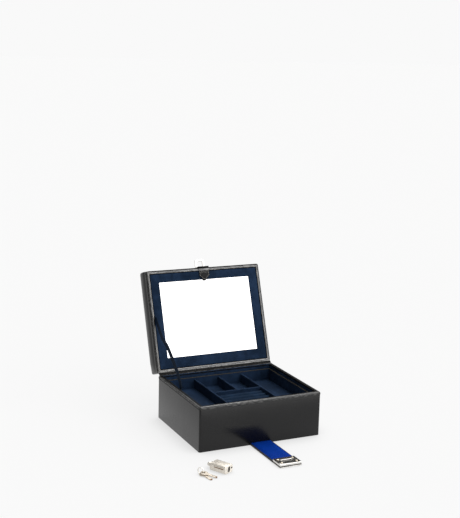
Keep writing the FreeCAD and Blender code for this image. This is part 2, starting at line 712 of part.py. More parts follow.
lockPlacement = "placement(vector(lock_x; lock_y; 0); vector(0; 0; 1); lock_yaw)"
body = newBody("padlock_body", lockPlacement)
pad(body, "XZ_Plane", "-lock_length", "lock_length", lambda sketch: rectangle(
    sketch, "-lock_width / 2", "lock_width / 2", "0", "lock_thickness"))
roundEdges(body, "lock_bevel", lambda edge: edge.BoundBox.YLength > nearly, "Chamfer")
roundEdges(body, "lock_edge", lambda edge: edge.BoundBox.YLength < nearly, "Chamfer")
for sign, depth in ((-1, "shackle_long_leg + shackle_hole_spare"),
                    (1, "shackle_short_leg + shackle_hole_spare")):
    pocket(body, "XZ_Plane", "-lock_length", lambda sketch: circle(
        sketch, f"{sign} * shackle_half_span", "lock_thickness / 2", "shackle_wire + shackle_clear"),
        depth, flip=True)
pocket(body, "XZ_Plane", "0", lambda sketch: circle(
    sketch, "0", "lock_thickness / 2", "plug_radius + plug_clear"), "plug_length + plug_clear")

body = newBody("padlock_plug", lockPlacement)
pad(body, "XZ_Plane", "-plug_length", "plug_length", lambda sketch: circle(
    sketch, "0", "lock_thickness / 2", "plug_radius"))
pocket(body, "XZ_Plane", "0", lambda sketch: rectangle(
    sketch, "-keyway_width / 2", "keyway_width / 2",
    "lock_thickness / 2 - keyway_height / 2", "lock_thickness / 2 + keyway_height / 2"), "keyway_depth")

# The shackle is one round bar: two straight legs and half a turn between them.
body = newBody("padlock_shackle", lockPlacement)
for sign, leg in ((-1, "shackle_long_leg"), (1, "shackle_short_leg")):
    pad(body, "XZ_Plane", f"{leg} - lock_length", f"{leg} + shackle_rise", lambda sketch: circle(
        sketch, f"{sign} * shackle_half_span", "lock_thickness / 2", "shackle_wire"), flip=True)
bend = body.newObject("PartDesign::AdditiveTorus", "padlock_shackle_bend")
bend.setExpression("Radius1", bound("shackle_half_span"))
bend.setExpression("Radius2", bound("shackle_wire"))
bend.Angle3 = 180
bend.AttachmentSupport = [([item for item in body.Origin.OriginFeatures if item.Role == "XY_Plane"][0], "")]
bend.MapMode = "FlatFace"
bend.setExpression("AttachmentOffset.Base.y", bound("lock_length + shackle_rise"))
bend.setExpression("AttachmentOffset.Base.z", bound("lock_thickness / 2"))
doc.recompute()

# ---------------------------------------------------------------- ring and keys

# The ring stands on the floor with its plane along ring_yaw; the keys' holes
# are threaded on its near side, one key on the other.
ringDown = "(ring_radius + ring_wire / 2)"
cutDepths = (0.6, 1, 0.4)  # shares of key_notch, from the tip back
keyTurn = {
    "key_one": ("key_one_yaw", "key_one_dip", "key_one_level"),
    "key_two": ("key_two_yaw", "key_two_dip", "key_two_level"),
}
for name, (yaw, dip, level) in keyTurn.items():
    out = f"sqrt(ring_radius * ring_radius - ({ringDown} - {level} - key_thickness / 2) ^ 2)"
    x, y = f"ring_x + {out} * cos(ring_yaw)", f"ring_y + {out} * sin(ring_yaw)"
    body = newBody(name, f"placement(vector({x}; {y}; {level}); rotation(vector(0; 0; 1); {yaw})"
                         f" * rotation(vector(0; 1; 0); {dip}))")
    pad(body, "XY_Plane", "0", "key_thickness", lambda sketch: circle(
        sketch, "key_head_set", "0", "key_head_radius"))
    half = "key_blade_width / 2"
    outline = [("key_shoulder", f"-{half}"), ("key_length - key_tip", f"-{half}"),
               ("key_length", "-key_tip_half"), ("key_length", "key_tip_half"),
               ("key_length - key_tip", half)]
    for index, depth in enumerate(cutDepths):
        right = f"key_length - key_first_cut - {index} * key_cut_pitch"
        outline += [(right, half), (f"{right} - key_cut_pitch / 4", f"{half} - key_notch * {depth}"),
                    (f"{right} - key_cut_pitch / 2", f"{half} - key_notch * {depth}"),
                    (f"{right} - key_cut_pitch * 3 / 4", half)]
    outline.append(("key_shoulder", half))
    pad(body, "XY_Plane", "0", "key_thickness", lambda sketch: polygon(sketch, outline))
    pocket(body, "XY_Plane", "0", lambda sketch: circle(sketch, hair, hair, "key_hole_radius"))

body = newBody("key_ring", f"placement(vector(ring_x; ring_y; {ringDown});"
                           " rotation(vector(0; 0; 1); ring_yaw) * rotation(vector(1; 0; 0); 90))")
section = newSketch(body, "XZ_Plane", "0")
inside, outside = "ring_radius - ring_wire / 2", "ring_radius + ring_wire / 2"
polygon(section, [(inside, "-ring_height / 2"), (outside, "-ring_height / 2"), (outside, "-ring_groove"),
                  (f"{outside} - ring_groove", hair), (outside, "ring_groove"),
                  (outside, "ring_height / 2"), (inside, "ring_height / 2")])
turn = body.newObject("PartDesign::Revolution", "key_ring_turn")
turn.Profile = section
turn.ReferenceAxis = ([item for item in body.Origin.OriginFeatures if item.Role == "Z_Axis"][0], [""])
turn.Angle = 360
doc.recompute()

# ---------------------------------------------------------------- checks and files

doc.recompute()
for item in doc.Objects:
    if "Invalid" in item.State or "Error" in item.State:
        raise RuntimeError(f"{item.Label} did not build: {item.State}")
for part in parts:
    if part.Shape.isNull() or not part.Shape.isValid():
        raise RuntimeError(f"{part.Label} has no valid shape")

os.makedirs("parts", exist_ok=True)
for part in parts:
    part.Shape.exportStep(f"parts/{part.Label}.step")
print(len(parts), "sub-parts written")
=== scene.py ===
import json
import math
from contextlib import contextmanager

import bmesh
import bpy
from mathutils import Matrix, Vector


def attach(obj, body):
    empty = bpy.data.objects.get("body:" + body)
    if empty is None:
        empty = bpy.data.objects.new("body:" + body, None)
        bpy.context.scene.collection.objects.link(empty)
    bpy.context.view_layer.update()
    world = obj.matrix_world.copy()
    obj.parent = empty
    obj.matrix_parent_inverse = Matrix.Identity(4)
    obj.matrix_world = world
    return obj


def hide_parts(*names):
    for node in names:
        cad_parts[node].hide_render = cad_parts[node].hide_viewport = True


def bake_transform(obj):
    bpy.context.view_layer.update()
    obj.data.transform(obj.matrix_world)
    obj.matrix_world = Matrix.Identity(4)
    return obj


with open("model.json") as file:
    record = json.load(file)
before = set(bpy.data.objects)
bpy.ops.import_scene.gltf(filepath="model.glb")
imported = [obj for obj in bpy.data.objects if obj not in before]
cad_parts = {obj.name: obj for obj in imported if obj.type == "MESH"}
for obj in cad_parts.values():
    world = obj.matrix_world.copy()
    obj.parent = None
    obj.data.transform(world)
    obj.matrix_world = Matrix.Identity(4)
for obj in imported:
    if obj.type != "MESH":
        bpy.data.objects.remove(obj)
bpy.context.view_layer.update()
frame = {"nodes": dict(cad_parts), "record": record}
scene = bpy.context.scene
scene.view_settings.view_transform = "Standard"
nodes = frame["nodes"]
bodyOf = {node: body for body, members in frame["record"]["behaviour"]["bodies"].items() for node in members}
slotOf = {row["node"]: row["material_slot"] for row in frame["record"]["subparts"]}
mm = 0.001

# Camera, floor and light.

cameraSet = {
    "place": (-0.75295, -1.53935, 0.63001),  # metres
    "azimuth": -25.431,
    "elevation": 11.181,
    "roll": 1.401,
    "lens": 73.126,  # mm
    "sensor": 36,
    "near": 0.01,
    "far": 100,
}


def linked(name, data):
    thing = bpy.data.objects.new(name, data)
    scene.collection.objects.link(thing)
    return thing


def makeCamera(spec):
    around, up, roll = (math.radians(spec[key]) for key in ("azimuth", "elevation", "roll"))
    back = Vector((math.sin(around) * math.cos(up), -math.cos(around) * math.cos(up), math.sin(up)))
    right = (-back).cross(Vector((0, 0, 1))).normalized()
    above = right.cross(-back)
    axisX = right * math.cos(roll) + above * math.sin(roll)
    axisY = above * math.cos(roll) - right * math.sin(roll)
    data = bpy.data.cameras.new("viewCamera")
    data.lens, data.sensor_width = spec["lens"], spec["sensor"]
    data.clip_start, data.clip_end = spec["near"], spec["far"]
    camera = linked("viewCamera", data)
    turn = Matrix((axisX, axisY, back)).transposed().to_4x4()
    camera.matrix_world = Matrix.Translation(spec["place"]) @ turn
    scene.camera = camera


makeCamera(cameraSet)
print("camera placed")


def tint(red, green, blue):
    # A colour given as 0 to 255 on a screen, as the linear numbers that a shader takes.
    shares = (part / 255 for part in (red, green, blue))
    return tuple(part / 12.92 if part < 0.04045 else ((part + 0.055) / 1.055) ** 2.4
                 for part in shares) + (1,)


class Wire:
    # One output of a node tree. Sums on it add Math nodes, and node() adds any other.
    def __init__(self, tree, socket=None):
        self.tree, self.socket = tree, socket

    def node(self, kind, settings=None, sockets=None, output=0):
        made = self.tree.nodes.new(kind)
        for key, value in (settings or {}).items():
            if key == "stops":
                ramp = made.color_ramp
                while len(ramp.elements) < len(value):
                    ramp.elements.new(1)
                for stop, (position, colour) in zip(ramp.elements, value):
                    stop.position, stop.color = position, colour
            else:
                setattr(made, key, value)
        for key, value in (sockets or {}).items():
            if isinstance(value, Wire):
                self.tree.links.new(value.socket, made.inputs[key])
            else:
                made.inputs[key].default_value = value
        return Wire(self.tree, made.outputs[output])

    def second(self, output):
        # Another output of the same node.
        return Wire(self.tree, self.socket.node.outputs[output])

    def maths(self, operation, *terms):
        return self.node("ShaderNodeMath", {"operation": operation}, dict(enumerate(terms)))

    def __add__(self, other):
        return self.maths("ADD", self, other)

    __radd__ = __add__

    def __mul__(self, other):
        return self.maths("MULTIPLY", self, other)

    __rmul__ = __mul__

    def __sub__(self, other):
        return self.maths("SUBTRACT", self, other)

    def __rsub__(self, other):
        return self.maths("SUBTRACT", other, self)

    def between(self, low, high):
        # 0 below low and 1 above high, smooth between them.
        return self.node("ShaderNodeMapRange", {"interpolation_type": "SMOOTHSTEP"},
                         {"Value": self, "From Min": low, "From Max": high})

    def mixed(self, first, second):
        # The first colour where this is 0, the second where it is 1.
        return self.node("ShaderNodeMix", {"data_type": "RGBA"}, {0: self, 6: first, 7: second}, 2)

    def place(self, lie):
        # Where the surface is on the piece, with each axis scaled by the lie.
        spot = self.node("ShaderNodeTexCoord", output="Object")
        if lie == (1, 1, 1):
            return spot
        return self.node("ShaderNodeMapping", None, {"Vector": spot, "Scale": lie})

    def noise(self, scale, detail=3, rough=0.5, lie=(1, 1, 1)):
        return self.node("ShaderNodeTexNoise", None, {"Vector": self.place(lie), "Scale": scale,
                                                      "Detail": detail, "Roughness": rough})

    def cells(self, scale, feature="F1", lie=(1, 1, 1)):
        return self.node("ShaderNodeTexVoronoi", {"feature": feature},
                         {"Vector": self.place(lie), "Scale": scale})

    def bump(self, height, distance, strength=1):
        return self.node("ShaderNodeBump", None,
                         {"Strength": strength, "Distance": distance, "Height": height})


lightSet = {
    "floorColour": 0.08,
    "floorGlow": 0.83,  # lifts the shadows, as in a washed-out studio
    "floorReach": 60,
    "cornerReach": 45 * mm,  # how far the darkening beside the box reaches
    "cornerShade": 0.8,
    "cornerFade": (0.35, 0.95),  # the openness at which it is full, and at which it ends
    "seen": 0.947,  # what the camera sees of the room behind the floor
    "dim": 0.24,
    "lightColour": (1, 0.997, 0.992, 1),
    "panels": (  # soft lights: way to the middle, strength, and the cosines where each fades in
        ((0.43, -0.80, 0.42), 2.0, (0.66, 0.93)),
        ((0.43, 0.28, 0.86), 3.4, (0.78, 0.97)),
    ),
    "overhead": 0.2,
    "overheadFade": (0.3, 1),
    "behind": 0.35,
    "behindFade": (0.2, 0.9),
    "sunStrength": 0.5,
    "sunAngle": 50,
    "sunWay": (0.62, -0.42, 0.75),
}


def makeRoom(spec):
    world = bpy.data.worlds.new("paleRoom")
    scene.world = world
    world.use_nodes = True
    tree = world.node_tree
    tree.nodes.clear()
    start = Wire(tree)
    way = start.node("ShaderNodeTexCoord", output="Generated")
    parts = way.node("ShaderNodeSeparateXYZ", None, {"Vector": way})
    across, along, height = (parts.second(index) for index in range(3))
    strength = (spec["dim"] + height.between(*spec["overheadFade"]) * spec["overhead"]
                + along.between(*spec["behindFade"]) * spec["behind"])
    for middle, power, edges in spec["panels"]:
        toward = across * middle[0] + along * middle[1] + height * middle[2]
        strength = strength + toward.between(*edges) * power
    lit = start.node("ShaderNodeBackground", None, {"Color": spec["lightColour"], "Strength": strength})
    shown = start.node("ShaderNodeBackground", None, {"Color": (1, 1, 1, 1), "Strength": spec["seen"]})
    ray = start.node("ShaderNodeLightPath", output="Is Camera Ray")
    mixed = start.node("ShaderNodeMixShader", None, {0: ray, 1: lit, 2: shown})
    end = tree.nodes.new("ShaderNodeOutputWorld")
    tree.links.new(mixed.socket, end.inputs["Surface"])

    sun = bpy.data.lights.new("softSun", "SUN")
    sun.energy, sun.angle = spec["sunStrength"], math.radians(spec["sunAngle"])
    lamp = linked("softSun", sun)
    lamp.matrix_world = Vector(spec["sunWay"]).to_track_quat("Z", "Y").to_matrix().to_4x4()

    floorMesh = bpy.data.meshes.new("floor")
    size = spec["floorReach"]
    floorMesh.from_pydata([(-size, -size, 0), (size, -size, 0), (size, size, 0), (-size, size, 0)], [],
                          [(0, 1, 2, 3)])
    floor = linked("floor", floorMesh)
    paint = bpy.data.materials.new("paleFloor")
    paint.use_nodes = True
    shader = paint.node_tree.nodes["Principled BSDF"]
    tone = spec["floorColour"]
    shader.inputs["Base Color"].default_value = (tone, tone, tone, 1)
    shader.inputs["Roughness"].default_value = 1
    shader.inputs["Specular IOR Level"].default_value = 0
    shader.inputs["Emission Strength"].default_value = spec["floorGlow"]
    start = Wire(paint.node_tree)
    clear = start.node("ShaderNodeAmbientOcclusion", {"samples": 8}, {"Distance": spec["cornerReach"]}, "AO")
    shade = clear.between(*spec["cornerFade"]).mixed((spec["cornerShade"],) * 3 + (1,), (1, 1, 1, 1))
    paint.node_tree.links.new(shade.socket, shader.inputs["Emission Color"])
    floorMesh.materials.append(paint)


makeRoom(lightSet)
print("room lit")

# Shapes.

sameWithin, sameOnSolids = 1e-6, 2e-6  # metres between points that are taken for one
hingeLine = Vector((0, 0.0919, 0.0766))
lidOpening = 110  # degrees
openTurn = (Matrix.Translation(hingeLine) @ Matrix.Rotation(math.radians(-lidOpening), 4, "X")
            @ Matrix.Translation(-hingeLine))  # from the closed lid's place to the open lid's


def evaluated(piece):
    # The plain mesh that a piece's modifiers make of it.
    return bpy.data.meshes.new_from_object(piece.evaluated_get(bpy.context.evaluated_depsgraph_get()))


@contextmanager
def opened(mesh):
    # The mesh laid open for bmesh work, and written back after it.
    work = bmesh.new()
    work.from_mesh(mesh)
    yield work
    work.to_mesh(mesh)
    work.free()


def cutAcross(work, point, way, **options):
    # Cuts along the plane through the point that stands square to the way.
    return bmesh.ops.bisect_plane(work, geom=work.verts[:] + work.edges[:] + work.faces[:], dist=sameWithin,
                                  plane_co=point, plane_no=way, **options)


def makeObject(name, mesh, coat, place=None, smoothAngle=35):
    # A piece with the named finish. Edges that bend less than the angle look smooth.
    if place is not None:
        mesh.transform(place)
    with opened(mesh) as work:
        for face in work.faces:
            face.smooth = True
        for edge in work.edges:
            edge.smooth = len(edge.link_faces) == 2 and edge.calc_face_angle(0) < math.radians(smoothAngle)
    mesh.materials.clear()
    mesh.materials.append(finishes[coat])
    return linked(name, mesh)


def meshFrom(name, points, faces):
    mesh = bpy.data.meshes.new(name)
    mesh.from_pydata([Vector(point) for point in points], [], faces)
    with opened(mesh) as work:
        bmesh.ops.remove_doubles(work, verts=work.verts, dist=sameWithin)
        bmesh.ops.recalc_face_normals(work, faces=work.faces)
    return mesh


def sine(degrees):
    return math.sin(math.radians(degrees))


def cosine(degrees):
    return math.cos(math.radians(degrees))


def roundedLoop(halfX, halfY, radius, steps=7, along=12):
    # Points round a rectangle with round corners, anticlockwise from above.
    radius = max(radius, 0.01 * mm)
    corners = ((1, -1, -90), (1, 1, 0), (-1, 1, 90), (-1, -1, 180))

    def cornerPoint(signX, signY, start, step):
        turn = math.radians(start + 90 * step / steps)
        middle = Vector((signX * (halfX - radius), signY * (halfY - radius)))
        return middle + Vector((math.cos(turn), math.sin(turn))) * radius

    loop = []
    for corner, after in zip(corners, corners[1:] + corners[:1]):
        loop += [cornerPoint(*corner, step) for step in range(steps + 1)]
        last, ahead = loop[-1], cornerPoint(*after, 0)
        loop += [last.lerp(ahead, step / along) for step in range(1, along)]
    return loop


def sweptFrame(name, halfX, halfY, radius, profile, closed=True, caps=()):
    # A frame whose section is the profile: pairs of inset from the outline and height.
    points, rings = [], []
    for inset, height in profile:
        loop = roundedLoop(halfX - inset, halfY - inset, radius - inset)
        rings.append(range(len(points), len(points) + len(loop)))
        points += [(x, y, height) for x, y in loop]
    faces = []
    count = len(rings[0])
    pairs = list(zip(rings, rings[1:])) + ([(rings[-1], rings[0])] if closed else [])
    for low, high in pairs:
        faces += [(low[i], low[(i + 1) % count], high[(i + 1) % count], high[i]) for i in range(count)]
    for cap in caps:
        faces.append(tuple(rings[cap]))
    return meshFrom(name, points, faces)


def softCopy(name, node, coat, width, segments=2, flatWithin=1, sharpFrom=28):
    # A copy of one of the part's solids with its sharp edges rounded. The last two are degrees.
    mesh = nodes[node].data.copy()
    mesh.name = name
    with opened(mesh) as work:
        bmesh.ops.remove_doubles(work, verts=work.verts, dist=sameOnSolids)
        bmesh.ops.dissolve_limit(work, angle_limit=math.radians(flatWithin), verts=work.verts,
                                 edges=work.edges)
        sharp = [edge for edge in work.edges
                 if len(edge.link_faces) == 2 and edge.calc_face_angle(0) > math.radians(sharpFrom)]
        bmesh.ops.bevel(work, geom=sharp, offset=width, offset_type="OFFSET", segments=segments,
                        profile=0.5, affect="EDGES", clamp_overlap=True)
    piece = makeObject(name, mesh, coat)
    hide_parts(node)
    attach(piece, bodyOf[node])
    return piece


# Finishes.

usual = {"lie": (1, 1, 1), "depth": 0.0001, "folds": 0, "coat": 0}  # where a finish says nothing else


def finish(name, paint, spec):
    # A material from a paint and its numbers. Its two colours are 0 to 255, as on a screen.
    material = bpy.data.materials.new(name)
    material.use_nodes = True
    tree = material.node_tree
    tree.nodes.clear()
    start = Wire(tree)
    spec = {**usual, **spec, "colour": tint(*spec["colour"]), "light": tint(*spec["light"])}
    shader = start.node("ShaderNodeBsdfPrincipled", None, paint(start, spec))
    tree.links.new(shader.socket, tree.nodes.new("ShaderNodeOutputMaterial").inputs["Surface"])
    return material


def leather(start, spec):
    pebbles = start.cells(spec["grain"])
    creases = start.cells(spec["grain"] * 0.4)
    fine = start.noise(spec["grain"] * 2.6, 2)
    cloud = start.noise(spec["cloud"], 4)
    folds = start.noise(spec["cloud"] * 3, 3, 0.55, (1, 1, 0.1))
    height = pebbles * 0.6 + creases * 0.5 + fine * 0.25 + folds * spec["folds"]
    tone = (cloud * 0.75 + pebbles * 0.35).between(0.3, 0.75)
    return {
        "Base Color": tone.mixed(spec["colour"], spec["light"]),
        "Roughness": spec["rough"] + (cloud - 0.5) * 0.14 + (fine - 0.5) * 0.08,
        "Specular IOR Level": spec["gloss"],
        "Normal": start.bump(height, spec["depth"], spec["bump"]),
    }


def crackled(start, spec):
    # Leather drawn tight over a piping, with short creases across it. The grey mixed into the creases is
    # partly painted highlight, standing in for glints on the creased piping, besides its gloss and bumps.
    creases = start.noise(spec["crease"], 4, 0.62, spec["lie"])
    lumps = start.noise(spec["crease"] * 0.35, 2)
    cracks = start.cells(spec["crease"] * 0.9, "DISTANCE_TO_EDGE", spec["lie"])
    height = creases * 0.9 + lumps * 0.6 + cracks.between(0, 0.25) * 0.35
    tone = (creases * 0.7 + cracks.between(0, 0.3) * 0.3).between(0.5, 0.72)
    return {
        "Base Color": tone.mixed(spec["colour"], spec["light"]),
        "Roughness": spec["rough"] + (creases - 0.5) * 0.2,
        "Specular IOR Level": spec["gloss"],
        "Coat Weight": spec["coat"],
        "Coat Roughness": 0.2,
        "Normal": start.bump(height, spec["depth"], spec["bump"]),
    }


suedeGrain = {"nap": 1700, "strokes": 90, "strokeLie": (1, 0.45, 0.8), "patches": 16}  # per metre


def suede(start, spec):
    nap = start.noise(suedeGrain["nap"], 3, 0.7)
    strokes = start.noise(suedeGrain["strokes"], 4, 0.6, suedeGrain["strokeLie"])
    patches = start.noise(suedeGrain["patches"], 3)
    tone = (strokes * 0.5 + patches * 0.5).between(0.34, 0.66)
    speckle = nap.between(0.3, 0.75)
    return {
        "Base Color": (tone * 0.75 + speckle * 0.25).mixed(spec["colour"], spec["light"]),
        "Roughness": 0.86 + (strokes - 0.5) * 0.16,
        "Specular IOR Level": 0.07,
        "Sheen Weight": spec["sheen"],
        "Sheen Roughness": 0.5,
        "Sheen Tint": spec["light"],
        "Normal": start.bump(nap * 0.7 + strokes * 0.5, 0.00012, 0.5),
    }


polishHairs, satinHairs, clothFuzz = 900, 1100, 1400  # per metre


def metal(start, spec):
    smears = start.noise(spec["smear"], 3)
    hairs = start.noise(polishHairs, 3, 0.6, spec["lie"])
    return {
        "Base Color": (smears * 0.6 + hairs * 0.4).between(0.3, 0.7).mixed(spec["colour"], spec["light"]),
        "Metallic": 1,
        "Roughness": spec["rough"] + (smears - 0.5) * spec["uneven"] + (hairs - 0.5) * spec["uneven"] * 0.6,
        "Normal": start.bump(hairs, 0.00001, 0.35),
    }


def satin(start, spec):
    # Brushed or plated metal whose haze makes part of it scatter light like paint.
    smears = start.noise(spec["smear"], 3)
    hairs = start.noise(satinHairs, 3, 0.6, spec["lie"])
    worn = (smears * 0.6 + hairs * 0.4).between(0.3, 0.7)
    return {
        "Base Color": worn.mixed(spec["colour"], spec["light"]),
        "Metallic": spec["metal"] + (hairs - 0.5) * 0.2,
        "Roughness": spec["rough"] + (smears - 0.5) * 0.2 + (hairs - 0.5) * 0.1,
        "Normal": start.bump(hairs, 0.00002, 0.4),
    }


def cloth(start, spec):
    # Ribs across the run of a sloping ribbon, and fuzz.
    split = start.node("ShaderNodeSeparateXYZ", None, {"Vector": start.place(spec["lie"])})
    run = split.second(1) * 0.77 + split.second(2) * 0.64
    ribs = start.maths("SINE", run * spec["ribs"]) * 0.5 + 0.5
    fuzz = start.noise(clothFuzz, 3, 0.6)
    tone = (ribs * 0.4 + fuzz * 0.6).between(0.2, 0.8)
    return {
        "Base Color": tone.mixed(spec["colour"], spec["light"]),
        "Roughness": 0.7 + (fuzz - 0.5) * 0.3,
        "Specular IOR Level": 0.06,
        "Normal": start.bump(ribs + fuzz * 0.3, 0.00008, 0.5),
    }


def fibre(start, spec):
    # Felt, card, wood or thread: noise drawn out along the fibres.
    strands = start.noise(spec["scale"], 5, 0.65, spec["lie"])
    flecks = start.noise(spec["scale"] * 3, 2)
    return {
        "Base Color": (strands * 0.7 + flecks * 0.3).between(0.3, 0.7).mixed(spec["colour"], spec["light"]),
        "Roughness": 0.82 + (strands - 0.5) * 0.2,
        "Specular IOR Level": 0.2,
        "Normal": start.bump(strands + flecks * 0.4, spec["depth"], 0.5),
    }


finishSet = {
    "blackLeather": (leather, {"colour": (6, 6, 7), "light": (9, 9, 10), "grain": 1300, "cloud": 18,
                               "rough": 0.25, "gloss": 0.34, "bump": 0.2, "folds": 4}),
    # The rims' grey crackle is partly painted highlight.
    "rimLeather": (crackled, {"colour": (5, 5, 6), "light": (96, 94, 90), "crease": 250, "lie": (0.3, 1, 1),
                              "rough": 0.25, "gloss": 1, "coat": 0.78, "depth": 0.0022, "bump": 0.65}),
    "rimLeatherSides": (crackled, {"colour": (5, 5, 6), "light": (96, 94, 90), "crease": 250,
                                   "lie": (1, 0.25, 0.25), "rough": 0.25, "gloss": 1, "coat": 0.78,
                                   "depth": 0.0022, "bump": 0.6}),
    "caseRimLeather": (crackled, {"colour": (4, 4, 5), "light": (58, 58, 56), "crease": 240,
                                  "lie": (0.35, 0.6, 1), "rough": 0.33, "gloss": 0.52, "depth": 0.002,
                                  "bump": 0.6}),
    # dull black, painted shade in the rims' creases
    "creaseShade": (leather, {"colour": (2, 2, 2), "light": (5, 5, 6), "grain": 1300, "cloud": 40,
                             "rough": 0.7, "gloss": 0.08, "bump": 0.3}),
    "tabLeather": (crackled, {"colour": (4, 4, 5), "light": (30, 30, 30), "crease": 320, "rough": 0.45,
                              "gloss": 0.2, "depth": 0.001, "bump": 0.6}),
    # dull near-black, painted shade in the crease over the hinges
    "gussetShade": (fibre, {"colour": (3, 3, 4), "light": (9, 9, 10), "scale": 900, "lie": (0.3, 1, 1)}),
    "strapLeather": (leather, {"colour": (20, 18, 17), "light": (34, 30, 28), "grain": 1200, "cloud": 40,
                               "rough": 0.5, "gloss": 0.35, "depth": 0.00015, "bump": 0.4}),
    "blueLeather": (leather, {"colour": (0, 38, 118), "light": (1, 46, 130), "grain": 1400, "cloud": 30,
                              "rough": 0.65, "gloss": 0.04, "bump": 0.35}),
    "navySuede": (suede, {"colour": (11, 25, 42), "light": (31, 48, 72), "sheen": 0.08}),
    "rollSuede": (suede, {"colour": (9, 24, 40), "light": (26, 44, 66), "sheen": 0.08}),
    "polishedSteel": (metal, {"colour": (205, 203, 200), "light": (240, 238, 234), "rough": 0.14,
                              "uneven": 0.12, "smear": 60, "lie": (1, 0.1, 0.4)}),
    "plateSteel": (metal, {"colour": (196, 193, 188), "light": (238, 236, 232), "rough": 0.12,
                           "uneven": 0.12, "smear": 70, "lie": (0.15, 1, 1)}),
    "ringSteel": (satin, {"colour": (214, 210, 202), "light": (245, 243, 238), "rough": 0.3, "metal": 0.5,
                          "smear": 200}),
    # near black: the pin's finish, and painted shade on the tab and round the keyway
    "nearBlackAndShade": (fibre, {"colour": (1, 1, 1), "light": (4, 4, 4), "scale": 900, "depth": 0.00005}),
    "seamBrown": (fibre, {"colour": (96, 68, 48), "light": (140, 108, 82), "scale": 900, "depth": 0.00005}),
    "hingeSteel": (metal, {"colour": (168, 165, 160), "light": (210, 206, 200), "rough": 0.28,
                           "uneven": 0.15, "smear": 80, "lie": (0.08, 1, 1)}),
    "mirrorSilver": (metal, {"colour": (252, 252, 252), "light": (255, 255, 255), "rough": 0.02,
                             "uneven": 0.01, "smear": 20}),
    "lockNickel": (satin, {"colour": (214, 206, 193), "light": (236, 230, 220), "rough": 0.34, "metal": 0.55,
                           "smear": 120, "lie": (1, 1, 0.12)}),
    "plugMetal": (satin, {"colour": (190, 184, 176), "light": (226, 220, 210), "rough": 0.35, "metal": 0.4,
                          "smear": 200}),
    "shackleSteel": (satin, {"colour": (206, 200, 190), "light": (244, 240, 232), "rough": 0.25,
                             "metal": 0.6, "smear": 150}),
    "keyMetal": (satin, {"colour": (172, 160, 142), "light": (212, 202, 188), "rough": 0.38, "metal": 0.35,
                         "smear": 160, "lie": (0.2, 1, 1)}),
    "screwMetal": (satin, {"colour": (220, 206, 182), "light": (246, 238, 222), "rough": 0.35, "metal": 0.3,
                           "smear": 300}),
    "stayRibbon": (cloth, {"colour": (9, 20, 35), "light": (21, 34, 50), "ribs": 7000}),
    "edgeTape": (fibre, {"colour": (30, 28, 25), "light": (58, 54, 47), "scale": 700}),
    "baseFelt": (fibre, {"colour": (20, 20, 22), "light": (40, 40, 43), "scale": 900, "lie": (1, 0.6, 1),
                         "depth": 0.0003}),
    "greyCard": (fibre, {"colour": (94, 90, 84), "light": (120, 115, 107), "scale": 500,
                         "lie": (1, 1, 0.3)}),
    "paleWood": (fibre, {"colour": (150, 118, 82), "light": (186, 154, 114), "scale": 220,
                         "lie": (0.06, 1, 1)}),
    "paleThread": (fibre, {"colour": (140, 138, 134), "light": (186, 184, 178), "scale": 2500}),
}
finishes = {name: finish(name, paint, spec) for name, (paint, spec) in finishSet.items()}
finishOfSlot = {
    "black_leather": "blackLeather", "blue_leather": "blueLeather", "polished_steel": "polishedSteel",
    "hinge_steel": "hingeSteel", "mirror": "mirrorSilver", "lock_metal": "lockNickel",
    "plug_metal": "plugMetal", "shackle_steel": "shackleSteel", "key_metal": "keyMetal",
    "ribbon": "stayRibbon", "base_felt": "baseFelt", "edge_tape": "edgeTape", "navy_suede": "navySuede",
    "card": "greyCard", "wood_board": "paleWood",
}
for name, node in nodes.items():
    for materialSlot in node.material_slots:
        materialSlot.material = finishes[finishOfSlot[slotOf[name]]]
print("finishes made")


def growOn(name, mesh, values, build, coat):
    # Runs a tree of Geometry Nodes on a mesh and gives back the plain mesh that it makes.
    tree = bpy.data.node_groups.new(name, "GeometryNodeTree")
    tree.interface.new_socket("Geometry", in_out="INPUT", socket_type="NodeSocketGeometry")
    places = {label: tree.interface.new_socket(label, in_out="INPUT", socket_type="NodeSocketFloat")
              for label in values}
    tree.interface.new_socket("Geometry", in_out="OUTPUT", socket_type="NodeSocketGeometry")
    entry = tree.nodes.new("NodeGroupInput")
    wires = {label: Wire(tree, entry.outputs[label]) for label in values}
    grown = build(Wire(tree, entry.outputs[0]), wires)
    real = grown.node("GeometryNodeRealizeInstances", None, {0: grown})
    painted = real.node("GeometryNodeSetMaterial", None, {"Geometry": real, "Material": finishes[coat]})
    tree.links.new(painted.socket, tree.nodes.new("NodeGroupOutput").inputs[0])
    carrier = linked(name, mesh)
    modifier = carrier.modifiers.new(name, "NODES")
    modifier.node_group = tree
    for label, value in values.items():
        modifier[places[label].identifier] = float(value)
    result = evaluated(carrier)
    bpy.data.objects.remove(carrier)
    result.name = name
    return result


def pointMesh(points, joined=True):
    mesh = bpy.data.meshes.new("path")
    mesh.from_pydata(points, [(i, i + 1) for i in range(len(points) - 1)] if joined else [], [])
    return mesh


def stitchRow(start, value):
    # One small bead of thread at each step along the path, lying along it.
    line = start.node("GeometryNodeMeshToCurve", None, {"Mesh": start})
    spaced = line.node("GeometryNodeResampleCurve", {"mode": "LENGTH"},
                       {"Curve": line, "Length": value["Pitch"]})
    turn = line.node("FunctionNodeAlignRotationToVector", {"axis": "X"},
                     {"Vector": line.node("GeometryNodeInputTangent")})
    bead = line.node("GeometryNodeMeshUVSphere", None, {"Segments": 8, "Rings": 5, "Radius": 1.0})
    size = line.node("ShaderNodeCombineXYZ", None, {
        "X": value["Length"] * 0.5, "Y": value["Thickness"] * 0.5, "Z": value["Thickness"] * 0.5})
    return line.node("GeometryNodeInstanceOnPoints", None,
                     {"Points": spaced, "Instance": bead, "Rotation": turn, "Scale": size})


headShape = {"sides": 20, "top": 0.72, "slotLong": 3, "slotWide": 0.3, "slotUp": 1.05}  # shares of its size


